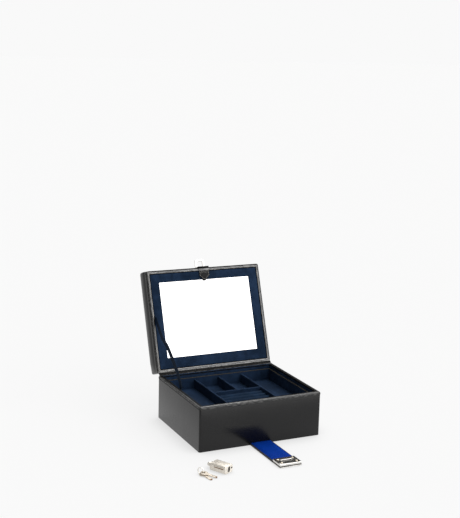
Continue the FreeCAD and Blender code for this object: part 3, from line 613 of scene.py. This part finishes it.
def screwHeads(start, value):
    # A low slotted head at each point, its top along +Z before the turn.
    head = start.node("GeometryNodeMeshCone", None, {
        "Vertices": headShape["sides"], "Radius Top": value["Radius"] * headShape["top"],
        "Radius Bottom": value["Radius"], "Depth": value["Height"]})
    bar = start.node("ShaderNodeCombineXYZ", None, {
        "X": value["Radius"] * headShape["slotLong"], "Y": value["Radius"] * headShape["slotWide"],
        "Z": value["Height"]})
    lift = start.node("ShaderNodeCombineXYZ", None, {"Z": value["Height"] * headShape["slotUp"]})
    slot = start.node("GeometryNodeTransform", None, {
        "Geometry": start.node("GeometryNodeMeshCube", None, {"Size": bar}), "Translation": lift})
    cut = start.node("GeometryNodeMeshBoolean", {"operation": "DIFFERENCE"}, {0: head, 1: slot})
    turn = start.node("ShaderNodeCombineXYZ", None, {"X": value["Tilt"], "Z": value["Twist"]})
    spots = start.node("GeometryNodeMeshToPoints", None, {"Mesh": start})
    return start.node("GeometryNodeInstanceOnPoints", None,
                      {"Points": spots, "Instance": cut, "Rotation": turn})


# The case.

caseSet = {
    "halfX": 110 * mm, "halfY": 90 * mm, "corner": 3 * mm, "rimLow": 73.4 * mm, "rimTop": 76 * mm,
    "rimWidth": 7 * mm, "rollWide": 2.6 * mm, "rollTall": 3.2 * mm, "out": 0.5 * mm, "hem": 2.2 * mm,
    "innerRoll": 0.5 * mm, "lip": 2.2 * mm, "cap": 2 * mm, "crownUp": 0.05 * mm,
    "innerShade": 2.7 * mm, "sideShade": 4.4 * mm, "footShade": 1.5 * mm,  # how wide the painted shade in the creases is
    "edgeFinish": "navySuede", "linedFrom": 1.8 * mm,  # the lining that shows along the back
    "sideFinish": "caseRimLeather",
    "leftShade": -5 * mm, "outerShade": -5 * mm,  # below 0, so there are none
}
tuck = 0.02 * mm  # how far a hem stands off the wall where it ends


def rimSection(spec, upward):
    # Closed section of a leather rim: a rolled cap over the board's edge, with a hem that may lie
    # over the wall's leather, and two lips inside.
    sign = 1 if upward else -1
    width = spec["rimWidth"]
    base, crown = (spec["rimLow"], spec["rimTop"]) if upward else (spec["rimTop"], spec["rimLow"])
    wide, tall, out, hem = spec["rollWide"], spec["rollTall"], spec["out"], spec["hem"]
    shoulder = crown - sign * tall
    outer = [(-tuck, base - sign * hem), (-out * 0.7, base - sign * (hem - 0.12 * mm)),
             (-out, base - sign * (hem - 0.5 * mm))]
    outer += [(-out + wide * (1 - cosine(a)), shoulder + sign * tall * sine(a)) for a in range(0, 91, 15)]
    fall = spec["innerRoll"]
    inner = [(width - fall + fall * sine(a), crown - sign * fall * (1 - cosine(a))) for a in range(0, 91, 18)]
    shelf = crown - sign * spec["cap"]
    return outer + [(width * 0.5, crown + sign * spec["crownUp"])] + inner + [
        (width, base), (width - spec["lip"], base), (width - spec["lip"], shelf), (spec["lip"], shelf),
        (spec["lip"], base), (-tuck, base)]


def frameFrom(name, spec, section, **options):
    return sweptFrame(name, spec["halfX"], spec["halfY"], spec["corner"], section, **options)


creaseShadeSet = {"hemReach": 0.5 * mm, "sideReach": 1 * mm, "frontFrom": 4 * mm}  # how far in from the side


def paintCreaseShade(piece, spec, back):
    # Painted shade: dull black where a rim lies in a crease, on its inner edge, its outer edge and the foot
    # of its hem. The left edge and the lining along the back get the edge finish, and the sides one of their
    # own. On the lid the edge finish is a duller copy of the rim's finish, painted shade along the rim's left
    # outer edge.
    for coat in ("creaseShade", spec["edgeFinish"], spec["sideFinish"]):
        piece.data.materials.append(finishes[coat])
    shadeIndex, edged, sided = 1, 2, 3
    foot = spec["rimLow"] - spec["hem"] if back is None else spec["rimTop"]
    for face in piece.data.polygons:
        place = face.center if back is None else back @ face.center
        sideways = spec["halfX"] - abs(place.x)
        inset = min(sideways, spec["halfY"] - abs(place.y))
        hem = abs(place.z - foot) < spec["footShade"] and sideways < creaseShadeSet["hemReach"]
        lined = place.y > spec["halfY"] - spec["rimWidth"] and inset > spec["linedFrom"]
        outer = inset < spec["outerShade"] and place.x > creaseShadeSet["frontFrom"] - spec["halfX"]
        atSide = sideways < spec["rimWidth"] + creaseShadeSet["sideReach"]
        inner = spec["sideShade"] if atSide else spec["innerShade"]
        leftEdge = place.x + spec["halfX"] < spec["leftShade"]
        if lined or leftEdge:
            face.material_index = edged
        elif inset > spec["rimWidth"] - inner or hem or outer:
            face.material_index = shadeIndex
        elif sideways < spec["rimWidth"]:
            face.material_index = sided


caseWrap = softCopy("caseWrap", "case_leather", "blackLeather", 0.45 * mm)
caseRim = makeObject("caseRim", frameFrom("caseRim", caseSet, rimSection(caseSet, True)), "caseRimLeather")
paintCreaseShade(caseRim, caseSet, None)
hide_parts("case_rim_binding")
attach(caseRim, "case")
print("case covered")

# The lid, drawn closed and turned open.

lidSet = {
    "halfX": 110 * mm, "halfY": 90 * mm, "corner": 3 * mm, "rimLow": 77.2 * mm, "rimTop": 79.8 * mm,
    "rimWidth": 6.4 * mm, "rollWide": 3.1 * mm, "rollTall": 2.3 * mm, "out": 0.1 * mm, "hem": 0.2 * mm,
    "innerRoll": 1.1 * mm, "lip": 1.6 * mm, "cap": 1.6 * mm, "crownUp": 0.3 * mm,
    "crease": 0.3 * mm, "top": 108.2 * mm, "edge": 2.6 * mm, "leather": 1 * mm, "crown": 0.5 * mm,
    "wallRises": (1, 2, 3.5, 5, 7, 9, 12, 15, 18, 21, 23),  # mm above the crease
    "crownLine": ((6, 0.15), (12, 0.45), (24, 0.8), (45, 0.97), (75, 1)),  # mm inwards, share of the crown
    "swell": 2.7 * mm, "swellRise": (0, 0.5), "swellFall": (0.72, 1.05), "frontSwell": 0.45,
    "seam": 0.9 * mm, "seamRise": (0, 0.3), "wallFrom": 2.5 * mm, "wallFull": 0.4 * mm,
    "backFrom": 12 * mm, "backFull": 2 * mm, "tabClear": (12 * mm, 26 * mm), "wallShare": 0.985,
    # On this rim: painted shade in its creases, and a duller copy of its finish as painted shade on its left
    # outer edge.
    "innerShade": 1.3 * mm, "sideShade": 1.3 * mm, "footShade": 0.5 * mm,
    "edgeFinish": "caseRimLeather", "linedFrom": 1,  # so far in that no lining shows
    "sideFinish": "rimLeatherSides", "leftShade": 2.4 * mm, "outerShade": 1.9 * mm,
}


def lidSection(spec):
    # From the inside of the top down the wall, round its hem and up over the top's edge.
    low, top, edge = spec["rimTop"] + spec["crease"], spec["top"], spec["edge"]
    skin = spec["leather"]
    section = [(skin, top - skin), (skin, low), (skin * 0.7, low), (skin * 0.3, low + 0.3 * mm)]
    section += [(0, low + rise * mm) for rise in spec["wallRises"]]
    section += [(edge - edge * cosine(a), top - edge + edge * sine(a)) for a in range(0, 91, 15)]
    return section + [(inset * mm, top + spec["crown"] * share) for inset, share in spec["crownLine"]]


def smooth(value, low, high):
    share = min(max((value - low) / (high - low), 0), 1)
    return share * share * (3 - 2 * share)


def padWalls(mesh, spec):
    # The lid's side walls swell out from a drawn-in seam under the rim. The front swells less,
    # and neither the back nor the tab's place does.
    low, high = spec["rimTop"] + spec["crease"], spec["top"]
    halfX, halfY, wallFrom, wallFull = spec["halfX"], spec["halfY"], spec["wallFrom"], spec["wallFull"]
    for vertex in mesh.vertices:
        x, y, z = vertex.co
        rise = (z - low) / (high - low)
        if not 0 <= rise <= 1 or max(abs(x) / halfX, abs(y) / halfY) < spec["wallShare"]:
            continue
        swell = spec["swell"] * smooth(rise, *spec["swellRise"]) * (1 - smooth(rise, *spec["swellFall"]))
        swell -= spec["seam"] * (1 - smooth(rise, *spec["seamRise"]))
        sideways = smooth(abs(x), halfX - wallFrom, halfX - wallFull) * (
            1 - smooth(y, halfY - spec["backFrom"], halfY - spec["backFull"]))
        forward = smooth(-y, halfY - wallFrom, halfY - wallFull) * spec["frontSwell"] * smooth(
            abs(x), *spec["tabClear"])
        vertex.co.x += math.copysign(swell * sideways, x)
        vertex.co.y -= swell * forward


lidMesh = frameFrom("lidWrap", lidSet, lidSection(lidSet), closed=False, caps=(0, -1))
padWalls(lidMesh, lidSet)
lidWrap = makeObject("lidWrap", lidMesh, "blackLeather", openTurn)
lidRim = makeObject("lidRim", frameFrom("lidRim", lidSet, rimSection(lidSet, False)), "rimLeather",
                    openTurn)
paintCreaseShade(lidRim, lidSet, openTurn.inverted())
mirrorMount = softCopy("mirrorMount", "mirror_frame", "navySuede", 0.5 * mm, 3)
lidTab = softCopy("lidTab", "lid_tab", "tabLeather", 0.5 * mm, 3)


def splitFinish(piece, cut, way, coat):
    # Cuts the mesh along a plane and gives what is beyond it another finish.
    with opened(piece.data) as work:
        cutAcross(work, cut, way)
    piece.data.materials.append(finishes[coat])
    index = len(piece.data.materials) - 1
    for face in piece.data.polygons:
        if (face.center - cut).dot(way) > 0:
            face.material_index = index


# Cuts of the tab in the closed lid's place: a point in mm, the way beyond it, and the finish there. The
# near-black band just inside the rim and the dull black beyond the rim's outer edge are painted shade,
# carrying the rim's painted crease shade across the tab.
tabCuts = (((0, -83, 0), (0, -1, 0), "nearBlackAndShade"), ((0, -84.3, 0), (0, -1, 0), "rimLeather"),
           ((0, -88, 0), (0, -1, 0), "creaseShade"), ((0, 0, 80.5), (0, 0, 1), "tabLeather"))
for point, way, coat in tabCuts:
    splitFinish(lidTab, openTurn @ (Vector(point) * mm), (openTurn.to_3x3() @ Vector(way)).normalized(),
                coat)
staple = softCopy("staple", "lid_staple", "polishedSteel", 0.6 * mm, 3)
for piece, node in ((lidWrap, "lid_leather"), (lidRim, "lid_rim_binding")):
    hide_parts(node)
    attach(piece, "lid")

tabSeam = {
    "face": 76.15 * mm, "half": 8.3 * mm, "back": -82.7 * mm, "shoulder": -75.6 * mm, "tip": -68.2 * mm,
    "bars": (-82.5 * mm, -80.4 * mm), "pitch": 1.35 * mm, "length": 1.0 * mm, "thread": 0.42 * mm,
}


def tabStitches(spec):
    half, face = spec["half"], spec["face"]
    sizes = {"Pitch": spec["pitch"], "Length": spec["length"], "Thickness": spec["thread"]}
    outline = [(-half, spec["back"], face), (-half, spec["shoulder"], face), (0, spec["tip"], face),
               (half, spec["shoulder"], face), (half, spec["back"], face)]
    joined = bmesh.new()
    for path in [outline] + [[(-half, y, face), (half, y, face)] for y in spec["bars"]]:
        joined.from_mesh(growOn("stitchRow", pointMesh(path), sizes, stitchRow, "paleThread"))
    mesh = bpy.data.meshes.new("tabStitches")
    joined.to_mesh(mesh)
    joined.free()
    piece = makeObject("tabStitches", mesh, "paleThread", openTurn, 180)
    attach(piece, "lid")


tabStitches(tabSeam)
print("lid covered")

# The hinges, and the leather strip that closes the gap between them.

for side in ("left", "right"):
    for half in ("case", "lid"):
        leaf = softCopy(f"{half}Leaf_{side}", f"{half}_hinge_leaf_{side}", "hingeSteel", 0.15 * mm, 1)

hingeScrewSet = {"xs": (-69 * mm, -51 * mm, 51 * mm, 69 * mm), "face": 91 * mm, "level": 8.5 * mm,
                 "radius": 1.7 * mm, "height": 0.6 * mm, "sunk": 0.05 * mm, "tilt": -90, "twist": 0}


def grownHeads(group, name, spots, spec, coat, place=None):
    mesh = growOn(group, pointMesh(spots, False), {
        "Radius": spec["radius"], "Height": spec["height"], "Tilt": math.radians(spec["tilt"]),
        "Twist": spec["twist"]}, screwHeads, coat)
    return makeObject(name, mesh, coat, place)


def hingeScrews(spec, body, level, place):
    spots = [(x, spec["face"] + spec["height"] / 2 - spec["sunk"], level) for x in spec["xs"]]
    piece = grownHeads("hingeScrews", f"{body}HingeScrews", spots, spec, "hingeSteel", place)
    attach(piece, body)


hingeScrews(hingeScrewSet, "case", hingeLine.z - hingeScrewSet["level"], None)
hingeScrews(hingeScrewSet, "lid", hingeLine.z + hingeScrewSet["level"], openTurn)

gussetSet = {
    "halfX": 108.6 * mm, "thick": 0.45 * mm, "steps": 48,
    "line": ((84.8, 76.12), (88.6, 76.3), (89.1, 76.5), (89.7, 77.1), (90.2, 78.0), (91.0, 78.75),
             (92.0, 79.1), (93.1, 79.25), (93.5, 79.95), (93.75, 80.6)),  # mm back and up
    "flaps": (88.8 * mm, 93.2 * mm),  # beyond these it lies on a rim and has that rim's finish
}


def loft(name, rings):
    # A skin over closed rings of points, with flat ends.
    points = [point for ring in rings for point in ring]
    count = len(rings[0])
    faces = [(r * count + i, r * count + (i + 1) % count, (r + 1) * count + (i + 1) % count,
              (r + 1) * count + i) for r in range(len(rings) - 1) for i in range(count)]
    faces += [tuple(range(count)), tuple(range(len(points) - count, len(points)))]
    return meshFrom(name, points, faces)


def backGusset(spec):
    # A soft leather strip over the hinges, from the case's rim to the open lid's. Its middle is a dull
    # near-black, painted shade for the crease between the rims.
    line = [Vector(point) * mm for point in spec["line"]]
    under = []
    for index, point in enumerate(line):
        before, after = line[max(index - 1, 0)], line[min(index + 1, len(line) - 1)]
        way = (after - before).normalized()
        under.append(point + Vector((way.y, -way.x)) * spec["thick"])
    outline = line + under[::-1]
    rings = []
    for step in range(spec["steps"] + 1):
        x = spec["halfX"] * (2 * step / spec["steps"] - 1)
        rings.append([(x, point.x, point.y) for point in outline])
    piece = makeObject("backGusset", loft("backGusset", rings), "gussetShade")
    piece.data.materials.append(finishes["caseRimLeather"])
    piece.data.materials.append(finishes["rimLeather"])
    low, high = spec["flaps"]
    for face in piece.data.polygons:
        face.material_index = 1 if face.center.y < low else 2 if face.center.y > high else 0
    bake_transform(piece)


backGusset(gussetSet)
print("hinges fitted")

# The tray.

tapeSet = {"halfX": 102.2 * mm, "halfY": 82.2 * mm, "corner": 0.5 * mm, "low": 67.7 * mm,
           "high": 68.5 * mm, "wide": 2.5 * mm, "round": 0.4 * mm}


def tapeSection(spec):
    soft, low, high, wide = spec["round"], spec["low"], spec["high"], spec["wide"]
    left = [(soft - soft * cosine(a), high - soft + soft * sine(a)) for a in range(0, 91, 30)]
    return [(0, low)] + left + [(wide - inset, height) for inset, height in reversed(left)] + [(wide, low)]


trayTape = makeObject("trayTape", frameFrom("trayTape", tapeSet, tapeSection(tapeSet)), "edgeTape")
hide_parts("tray_rim_tape")
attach(trayTape, "tray")

rollSet = {
    "halfX": 43.1 * mm, "halfY": 5.6 * mm, "low": 48.8 * mm, "shoulder": 52.6 * mm, "high": 60.6 * mm,
    "ends": ((-1, 0.6 * mm), (-0.985, 0.15 * mm), (-0.9, 0), (0, 0), (0.9, 0), (0.985, 0.15 * mm),
             (1, 0.6 * mm)),  # share of the half length, and how much thinner it is there
    "firstY": -72.6 * mm, "pitch": 13.3 * mm, "count": 6, "voxel": 1.5 * mm, "pressure": 3.5,
    "mass": 0.1, "quality": 4, "frames": 20, "sewn": 1 * mm, "reach": 0.25 * mm, "fill": 0.85,
}


def rollShape(spec):
    # A bar with a flat foot, upright sides and a round top, its ends a little rounded.
    rise = spec["high"] - spec["shoulder"]
    rings = []
    for x, shrink in spec["ends"]:
        side = spec["halfY"] - shrink
        ring = [(-side, spec["low"]), (side, spec["low"])]
        ring += [(side * cosine(a), spec["shoulder"] + (rise - shrink) * sine(a)) for a in range(0, 181, 15)]
        rings.append([(x * spec["halfX"], y, z) for y, z in ring])
    return loft("roll", rings)


def stuffed(mesh, spec, isPinned):
    # The mesh swelled by air pressure for a moment, with no point moved further than the reach.
    piece = linked("stuffing", mesh)
    remesh = piece.modifiers.new("even", "REMESH")
    remesh.mode, remesh.voxel_size = "VOXEL", spec["voxel"]
    even = evaluated(piece)
    piece.modifiers.clear()
    piece.data = even
    before = [vertex.co.copy() for vertex in even.vertices]
    group = piece.vertex_groups.new(name="sewn")
    group.add([vertex.index for vertex in even.vertices if isPinned(vertex.co)], 1, "REPLACE")
    cloth = piece.modifiers.new("cloth", "CLOTH")
    cloth.settings.vertex_group_mass = "sewn"
    cloth.settings.use_pressure = True
    cloth.settings.uniform_pressure_force = spec["pressure"]
    cloth.settings.effector_weights.gravity = 0
    cloth.settings.mass = spec["mass"]
    cloth.settings.quality = spec["quality"]
    cloth.point_cache.frame_start, cloth.point_cache.frame_end = 1, spec["frames"]
    for frameNumber in range(1, spec["frames"] + 1):
        scene.frame_set(frameNumber)
    shaped = evaluated(piece)
    scene.frame_set(1)
    for vertex, start in zip(shaped.vertices, before):
        move = vertex.co - start
        if move.length > spec["reach"]:
            vertex.co = start + move.normalized() * spec["reach"]
    bpy.data.objects.remove(piece)
    return shaped


def rollRow(start, value):
    step = start.node("ShaderNodeCombineXYZ", None, {"Y": value["Pitch"]})
    first = start.node("ShaderNodeCombineXYZ", None, {"Y": value["First"]})
    count = start.node("FunctionNodeFloatToInt", {"rounding_mode": "ROUND"}, {"Float": value["Count"]})
    row = start.node("GeometryNodeMeshLine", {"mode": "OFFSET"},
                     {"Count": count, "Start Location": first, "Offset": step})
    return start.node("GeometryNodeInstanceOnPoints", None, {"Points": row, "Instance": start})


def ringRolls(spec):
    roll = stuffed(rollShape(spec), spec, lambda place: place.z < spec["low"] + spec["sewn"])
    sizes = {"Pitch": spec["pitch"], "First": spec["firstY"], "Count": spec["count"]}
    mesh = growOn("ringRolls", roll, sizes, rollRow, "rollSuede")
    piece = makeObject("ringRolls", mesh, "rollSuede", smoothAngle=60)
    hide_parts("ring_rolls")
    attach(piece, "tray")


ringRolls(rollSet)
print("tray filled")

# The strap, its lining and its plates.

strapSet = {
    "halfX": 19 * mm, "leather": 2.6 * mm, "edge": 3.75 * mm, "lip": 1.0 * mm, "under": 0.8 * mm,
    "near": -52 * mm, "nearSteps": (0, 18 * mm, 30 * mm), "far": -168.2 * mm,
    "farShares": (0.15, 0.35, 0.6, 0.85, 1), "foldStart": -89.5 * mm, "foldEnd": -97 * mm,
    "bendSteps": (-2, 13), "bendStep": 0.75,  # mm
    "cutAt": -168.0 * mm, "liningFrom": -84 * mm, "liningTop": 3.7 * mm,
}


def strapLevels(spec):
    # Places along the strap, closer together where it bends.
    near = [spec["near"] - step for step in spec["nearSteps"]]
    bend = [spec["foldStart"] - step * spec["bendStep"] * mm for step in range(*spec["bendSteps"])]
    return near + bend + [bend[-1] + (spec["far"] - bend[-1]) * share for share in spec["farShares"]]


def strapBlend(piece):
    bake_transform(piece)


def strapLeather(spec):
    # Leather with its edges turned up round the lining, and the end between the plates.
    halfX, top, bed, lip, soft = spec["halfX"], spec["edge"], spec["leather"], spec["lip"], spec["under"]
    half = [(halfX - soft, 0), (halfX - soft * 0.3, soft * 0.3), (halfX, soft), (halfX, top - 0.5 * mm),
            (halfX - 0.15 * mm, top - 0.12 * mm), (halfX - 0.5 * mm, top),
            (halfX - lip + 0.15 * mm, top - 0.05 * mm), (halfX - lip, top - 0.3 * mm), (halfX - lip, bed)]
    outline = half + [(-x, z) for x, z in reversed(half)]
    mesh = loft("strapHide", [[(x, y, z) for x, z in outline] for y in strapLevels(spec)])
    work = bmesh.new()
    work.from_mesh(nodes["strap_leather"].data)
    bmesh.ops.remove_doubles(work, verts=work.verts, dist=sameOnSolids)
    cut = cutAcross(work, (0, spec["cutAt"], 0), (0, 1, 0), clear_outer=True)
    rim = [item for item in cut["geom_cut"] if isinstance(item, bmesh.types.BMEdge)]
    bmesh.ops.holes_fill(work, edges=rim)
    bmesh.ops.recalc_face_normals(work, faces=work.faces)
    work.from_mesh(mesh)
    work.to_mesh(mesh)
    work.free()
    piece = makeObject("strapHide", mesh, "strapLeather", smoothAngle=40)
    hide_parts("strap_leather", "strap_anchor")
    strapBlend(piece)


def strapLining(spec):
    halfX, low, high = spec["halfX"] - spec["lip"], spec["leather"], spec["liningTop"]
    outline = [(-halfX, low), (halfX, low), (halfX, high - 0.25 * mm), (halfX - 0.3 * mm, high),
               (halfX * 0.5, high + 0.08 * mm), (0, high + 0.1 * mm), (-halfX * 0.5, high + 0.08 * mm),
               (0.3 * mm - halfX, high), (-halfX, high - 0.25 * mm)]
    levels = [y for y in strapLevels(spec) if y < spec["liningFrom"]]
    mesh = loft("strapLining", [[(x, y, z) for x, z in outline] for y in levels])
    piece = makeObject("strapLining", mesh, "blueLeather", smoothAngle=50)
    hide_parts("strap_lining")
    strapBlend(piece)


strapLeather(strapSet)
strapLining(strapSet)
for name, node, soft in (("upperPlate", "strap_plate_inner", 0.45 * mm),
                         ("lowerPlate", "strap_plate_outer", 0.25 * mm)):
    plate = softCopy(name, node, "plateSteel", soft, 3)

plateScrewSet = {"spots": [(x * mm, y * mm, 6.45 * mm) for x in (-13, 13) for y in (-174.6, -188.2)],
                 "radius": 1.9 * mm, "height": 0.6 * mm, "tilt": 0, "twist": 0.7}


def plateScrews(spec):
    piece = grownHeads("plateScrews", "plateScrews", spec["spots"], spec, "screwMetal")
    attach(piece, "strap")


plateScrews(plateScrewSet)
print("strap laid")

# The stay ribbon inside the left wall.

ribbonSet = {
    "start": (-102.5, 7.5, 70.5), "end": (-102.5, 126.6, 169.8),  # mm
    "wide": 10 * mm, "thick": 0.45 * mm, "steps": 28, "bulge": 6, "sag": -0.5,  # mm into the box and up
    "twist": 6, "early": 0.55,  # below 1 brings the bulge and the twist nearer the case
    "flatFrom": 0.58, "flatTo": 0.74,  # they end between these shares of the run
    "ribAt": 0.33, "foldStart": 0, "foldEnd": 0.96,
}


def stayRibbon(spec):
    start, end = Vector(spec["start"]) * mm, Vector(spec["end"]) * mm
    run = end - start
    across = Vector((0, -run.z, run.y)).normalized()
    path, humps = [], []
    for step in range(spec["steps"] + 1):
        share = step / spec["steps"]
        flat = smooth(share, spec["flatFrom"], spec["flatTo"])
        hump = math.sin(math.pi * share ** spec["early"]) * (1 - flat)
        humps.append(hump)
        slack = Vector((spec["bulge"] * hump, 0, spec["sag"] * math.sin(math.pi * share)))
        path.append(start + run * share + slack * mm)
    rings = []
    for step, point in enumerate(path):
        twist = math.radians(spec["twist"]) * humps[step]
        side = (across * math.cos(twist) + Vector((1, 0, 0)) * math.sin(twist)) * spec["wide"] / 2
        way = (path[min(step + 1, spec["steps"])] - path[max(step - 1, 0)]).normalized()
        out = side.cross(way).normalized() * spec["thick"] / 2
        offsets = (-side, -side * spec["ribAt"], side * spec["ribAt"], side)
        rings.append([point + offset - out for offset in offsets]
                     + [point + offset + out for offset in reversed(offsets)])
    mesh = loft("stayRibbon", rings)
    piece = makeObject("stayRibbon", mesh, "stayRibbon", smoothAngle=60)
    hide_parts("lid_stay_ribbon")
    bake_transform(piece)


stayRibbon(ribbonSet)
print("ribbon hung")

# The padlock, the ring and the keys.

lockSet = {
    "centre": (-100.1 * mm, -181.2 * mm, 6.3 * mm), "yaw": 28, "ring": Vector((-142, -169.5, 0)) * mm,
    "rubbed": 1.6 * mm,  # how much of each key's tip is dark
    "keywayHalf": 2.1 * mm, "keywayRise": 4 * mm,
    "pin": {"spot": (6.7 * mm, -0.08 * mm, 7.2 * mm), "radius": 1.5 * mm, "height": 0.3 * mm, "tilt": 90,
            "twist": 0},
    "seam": {"side": -10.02 * mm, "near": 2.6 * mm, "far": 21 * mm, "low": 0.9 * mm, "high": 2.1 * mm,
             "depth": 0.12 * mm, "taper": 1 * mm, "proud": 0.03 * mm},
}
lockTurn = Matrix.Translation(Vector((lockSet["centre"][0], lockSet["centre"][1], 0))) @ Matrix.Rotation(
    math.radians(lockSet["yaw"]), 4, "Z")


def paintKeywayShade(piece, spec):
    # Painted shade: the keyway and the metal just round it get a near-black finish of their own, standing in
    # for the shade in the keyway.
    turn, back = lockTurn.to_3x3(), lockTurn.inverted()
    half, rise, level = spec["keywayHalf"], spec["keywayRise"], spec["centre"][2]
    with opened(piece.data) as work:
        for offset, way in (((half, 0, 0), (1, 0, 0)), ((0, 0, rise), (0, 0, 1))):
            for sign in (-1, 1):
                point = Vector(offset) * sign + Vector((0, 0, level))
                cutAcross(work, lockTurn @ point, turn @ Vector(way))
    piece.data.materials.append(finishes["nearBlackAndShade"])
    for face in piece.data.polygons:
        place = back @ face.center
        face.material_index = 1 if abs(place.x) < half and abs(place.z - level) < rise else 0


def darkTip(piece, centre, length):
    # The last of the key's blade, rubbed dark.
    tip = max((vertex.co for vertex in piece.data.vertices), key=lambda co: (co - centre).length).copy()
    way = (tip - centre).normalized()
    splitFinish(piece, tip - way * length, way, "seamBrown")


lockBody = softCopy("lockBody", "padlock_body", "lockNickel", 0.5 * mm, 3)
lockPlug = softCopy("lockPlug", "padlock_plug", "plugMetal", 0.3 * mm, 1)
paintKeywayShade(lockPlug, lockSet)
shackle = softCopy("shackle", "padlock_shackle", "shackleSteel", 0.2 * mm, 1, flatWithin=0.1)
keyRing = softCopy("keyRing", "key_ring", "ringSteel", 0.05 * mm, 1, flatWithin=0.1)
keyOne = softCopy("keyOne", "key_one", "keyMetal", 0.2 * mm, 2)
keyTwo = softCopy("keyTwo", "key_two", "keyMetal", 0.2 * mm, 2)
for piece in (keyOne, keyTwo):
    darkTip(piece, lockSet["ring"], lockSet["rubbed"])


def lockSeam(spec):
    # A fine line along the padlock's side, where its two halves meet.
    seam, level = spec["seam"], spec["centre"][2]
    side, inside = seam["side"], seam["side"] + seam["depth"]
    low, high = level + seam["low"], level + seam["high"]
    ends = ((seam["near"], 0), (seam["near"] + seam["taper"], seam["proud"]),
            (seam["far"] - seam["taper"], seam["proud"]), (seam["far"], 0))
    rings = [[(side - out, y, low), (side - out, y, high), (inside, y, high), (inside, y, low)]
             for y, out in ends]
    piece = makeObject("lockSeam", loft("lockSeam", rings), "seamBrown", lockTurn)
    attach(piece, "padlock")


def lockPin(spec):
    # The small pin beside the plug.
    piece = grownHeads("lockPin", "lockPin", [spec["pin"]["spot"]], spec["pin"], "nearBlackAndShade", lockTurn)
    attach(piece, "padlock")


lockSeam(lockSet)
lockPin(lockSet)
print("padlock and keys laid")
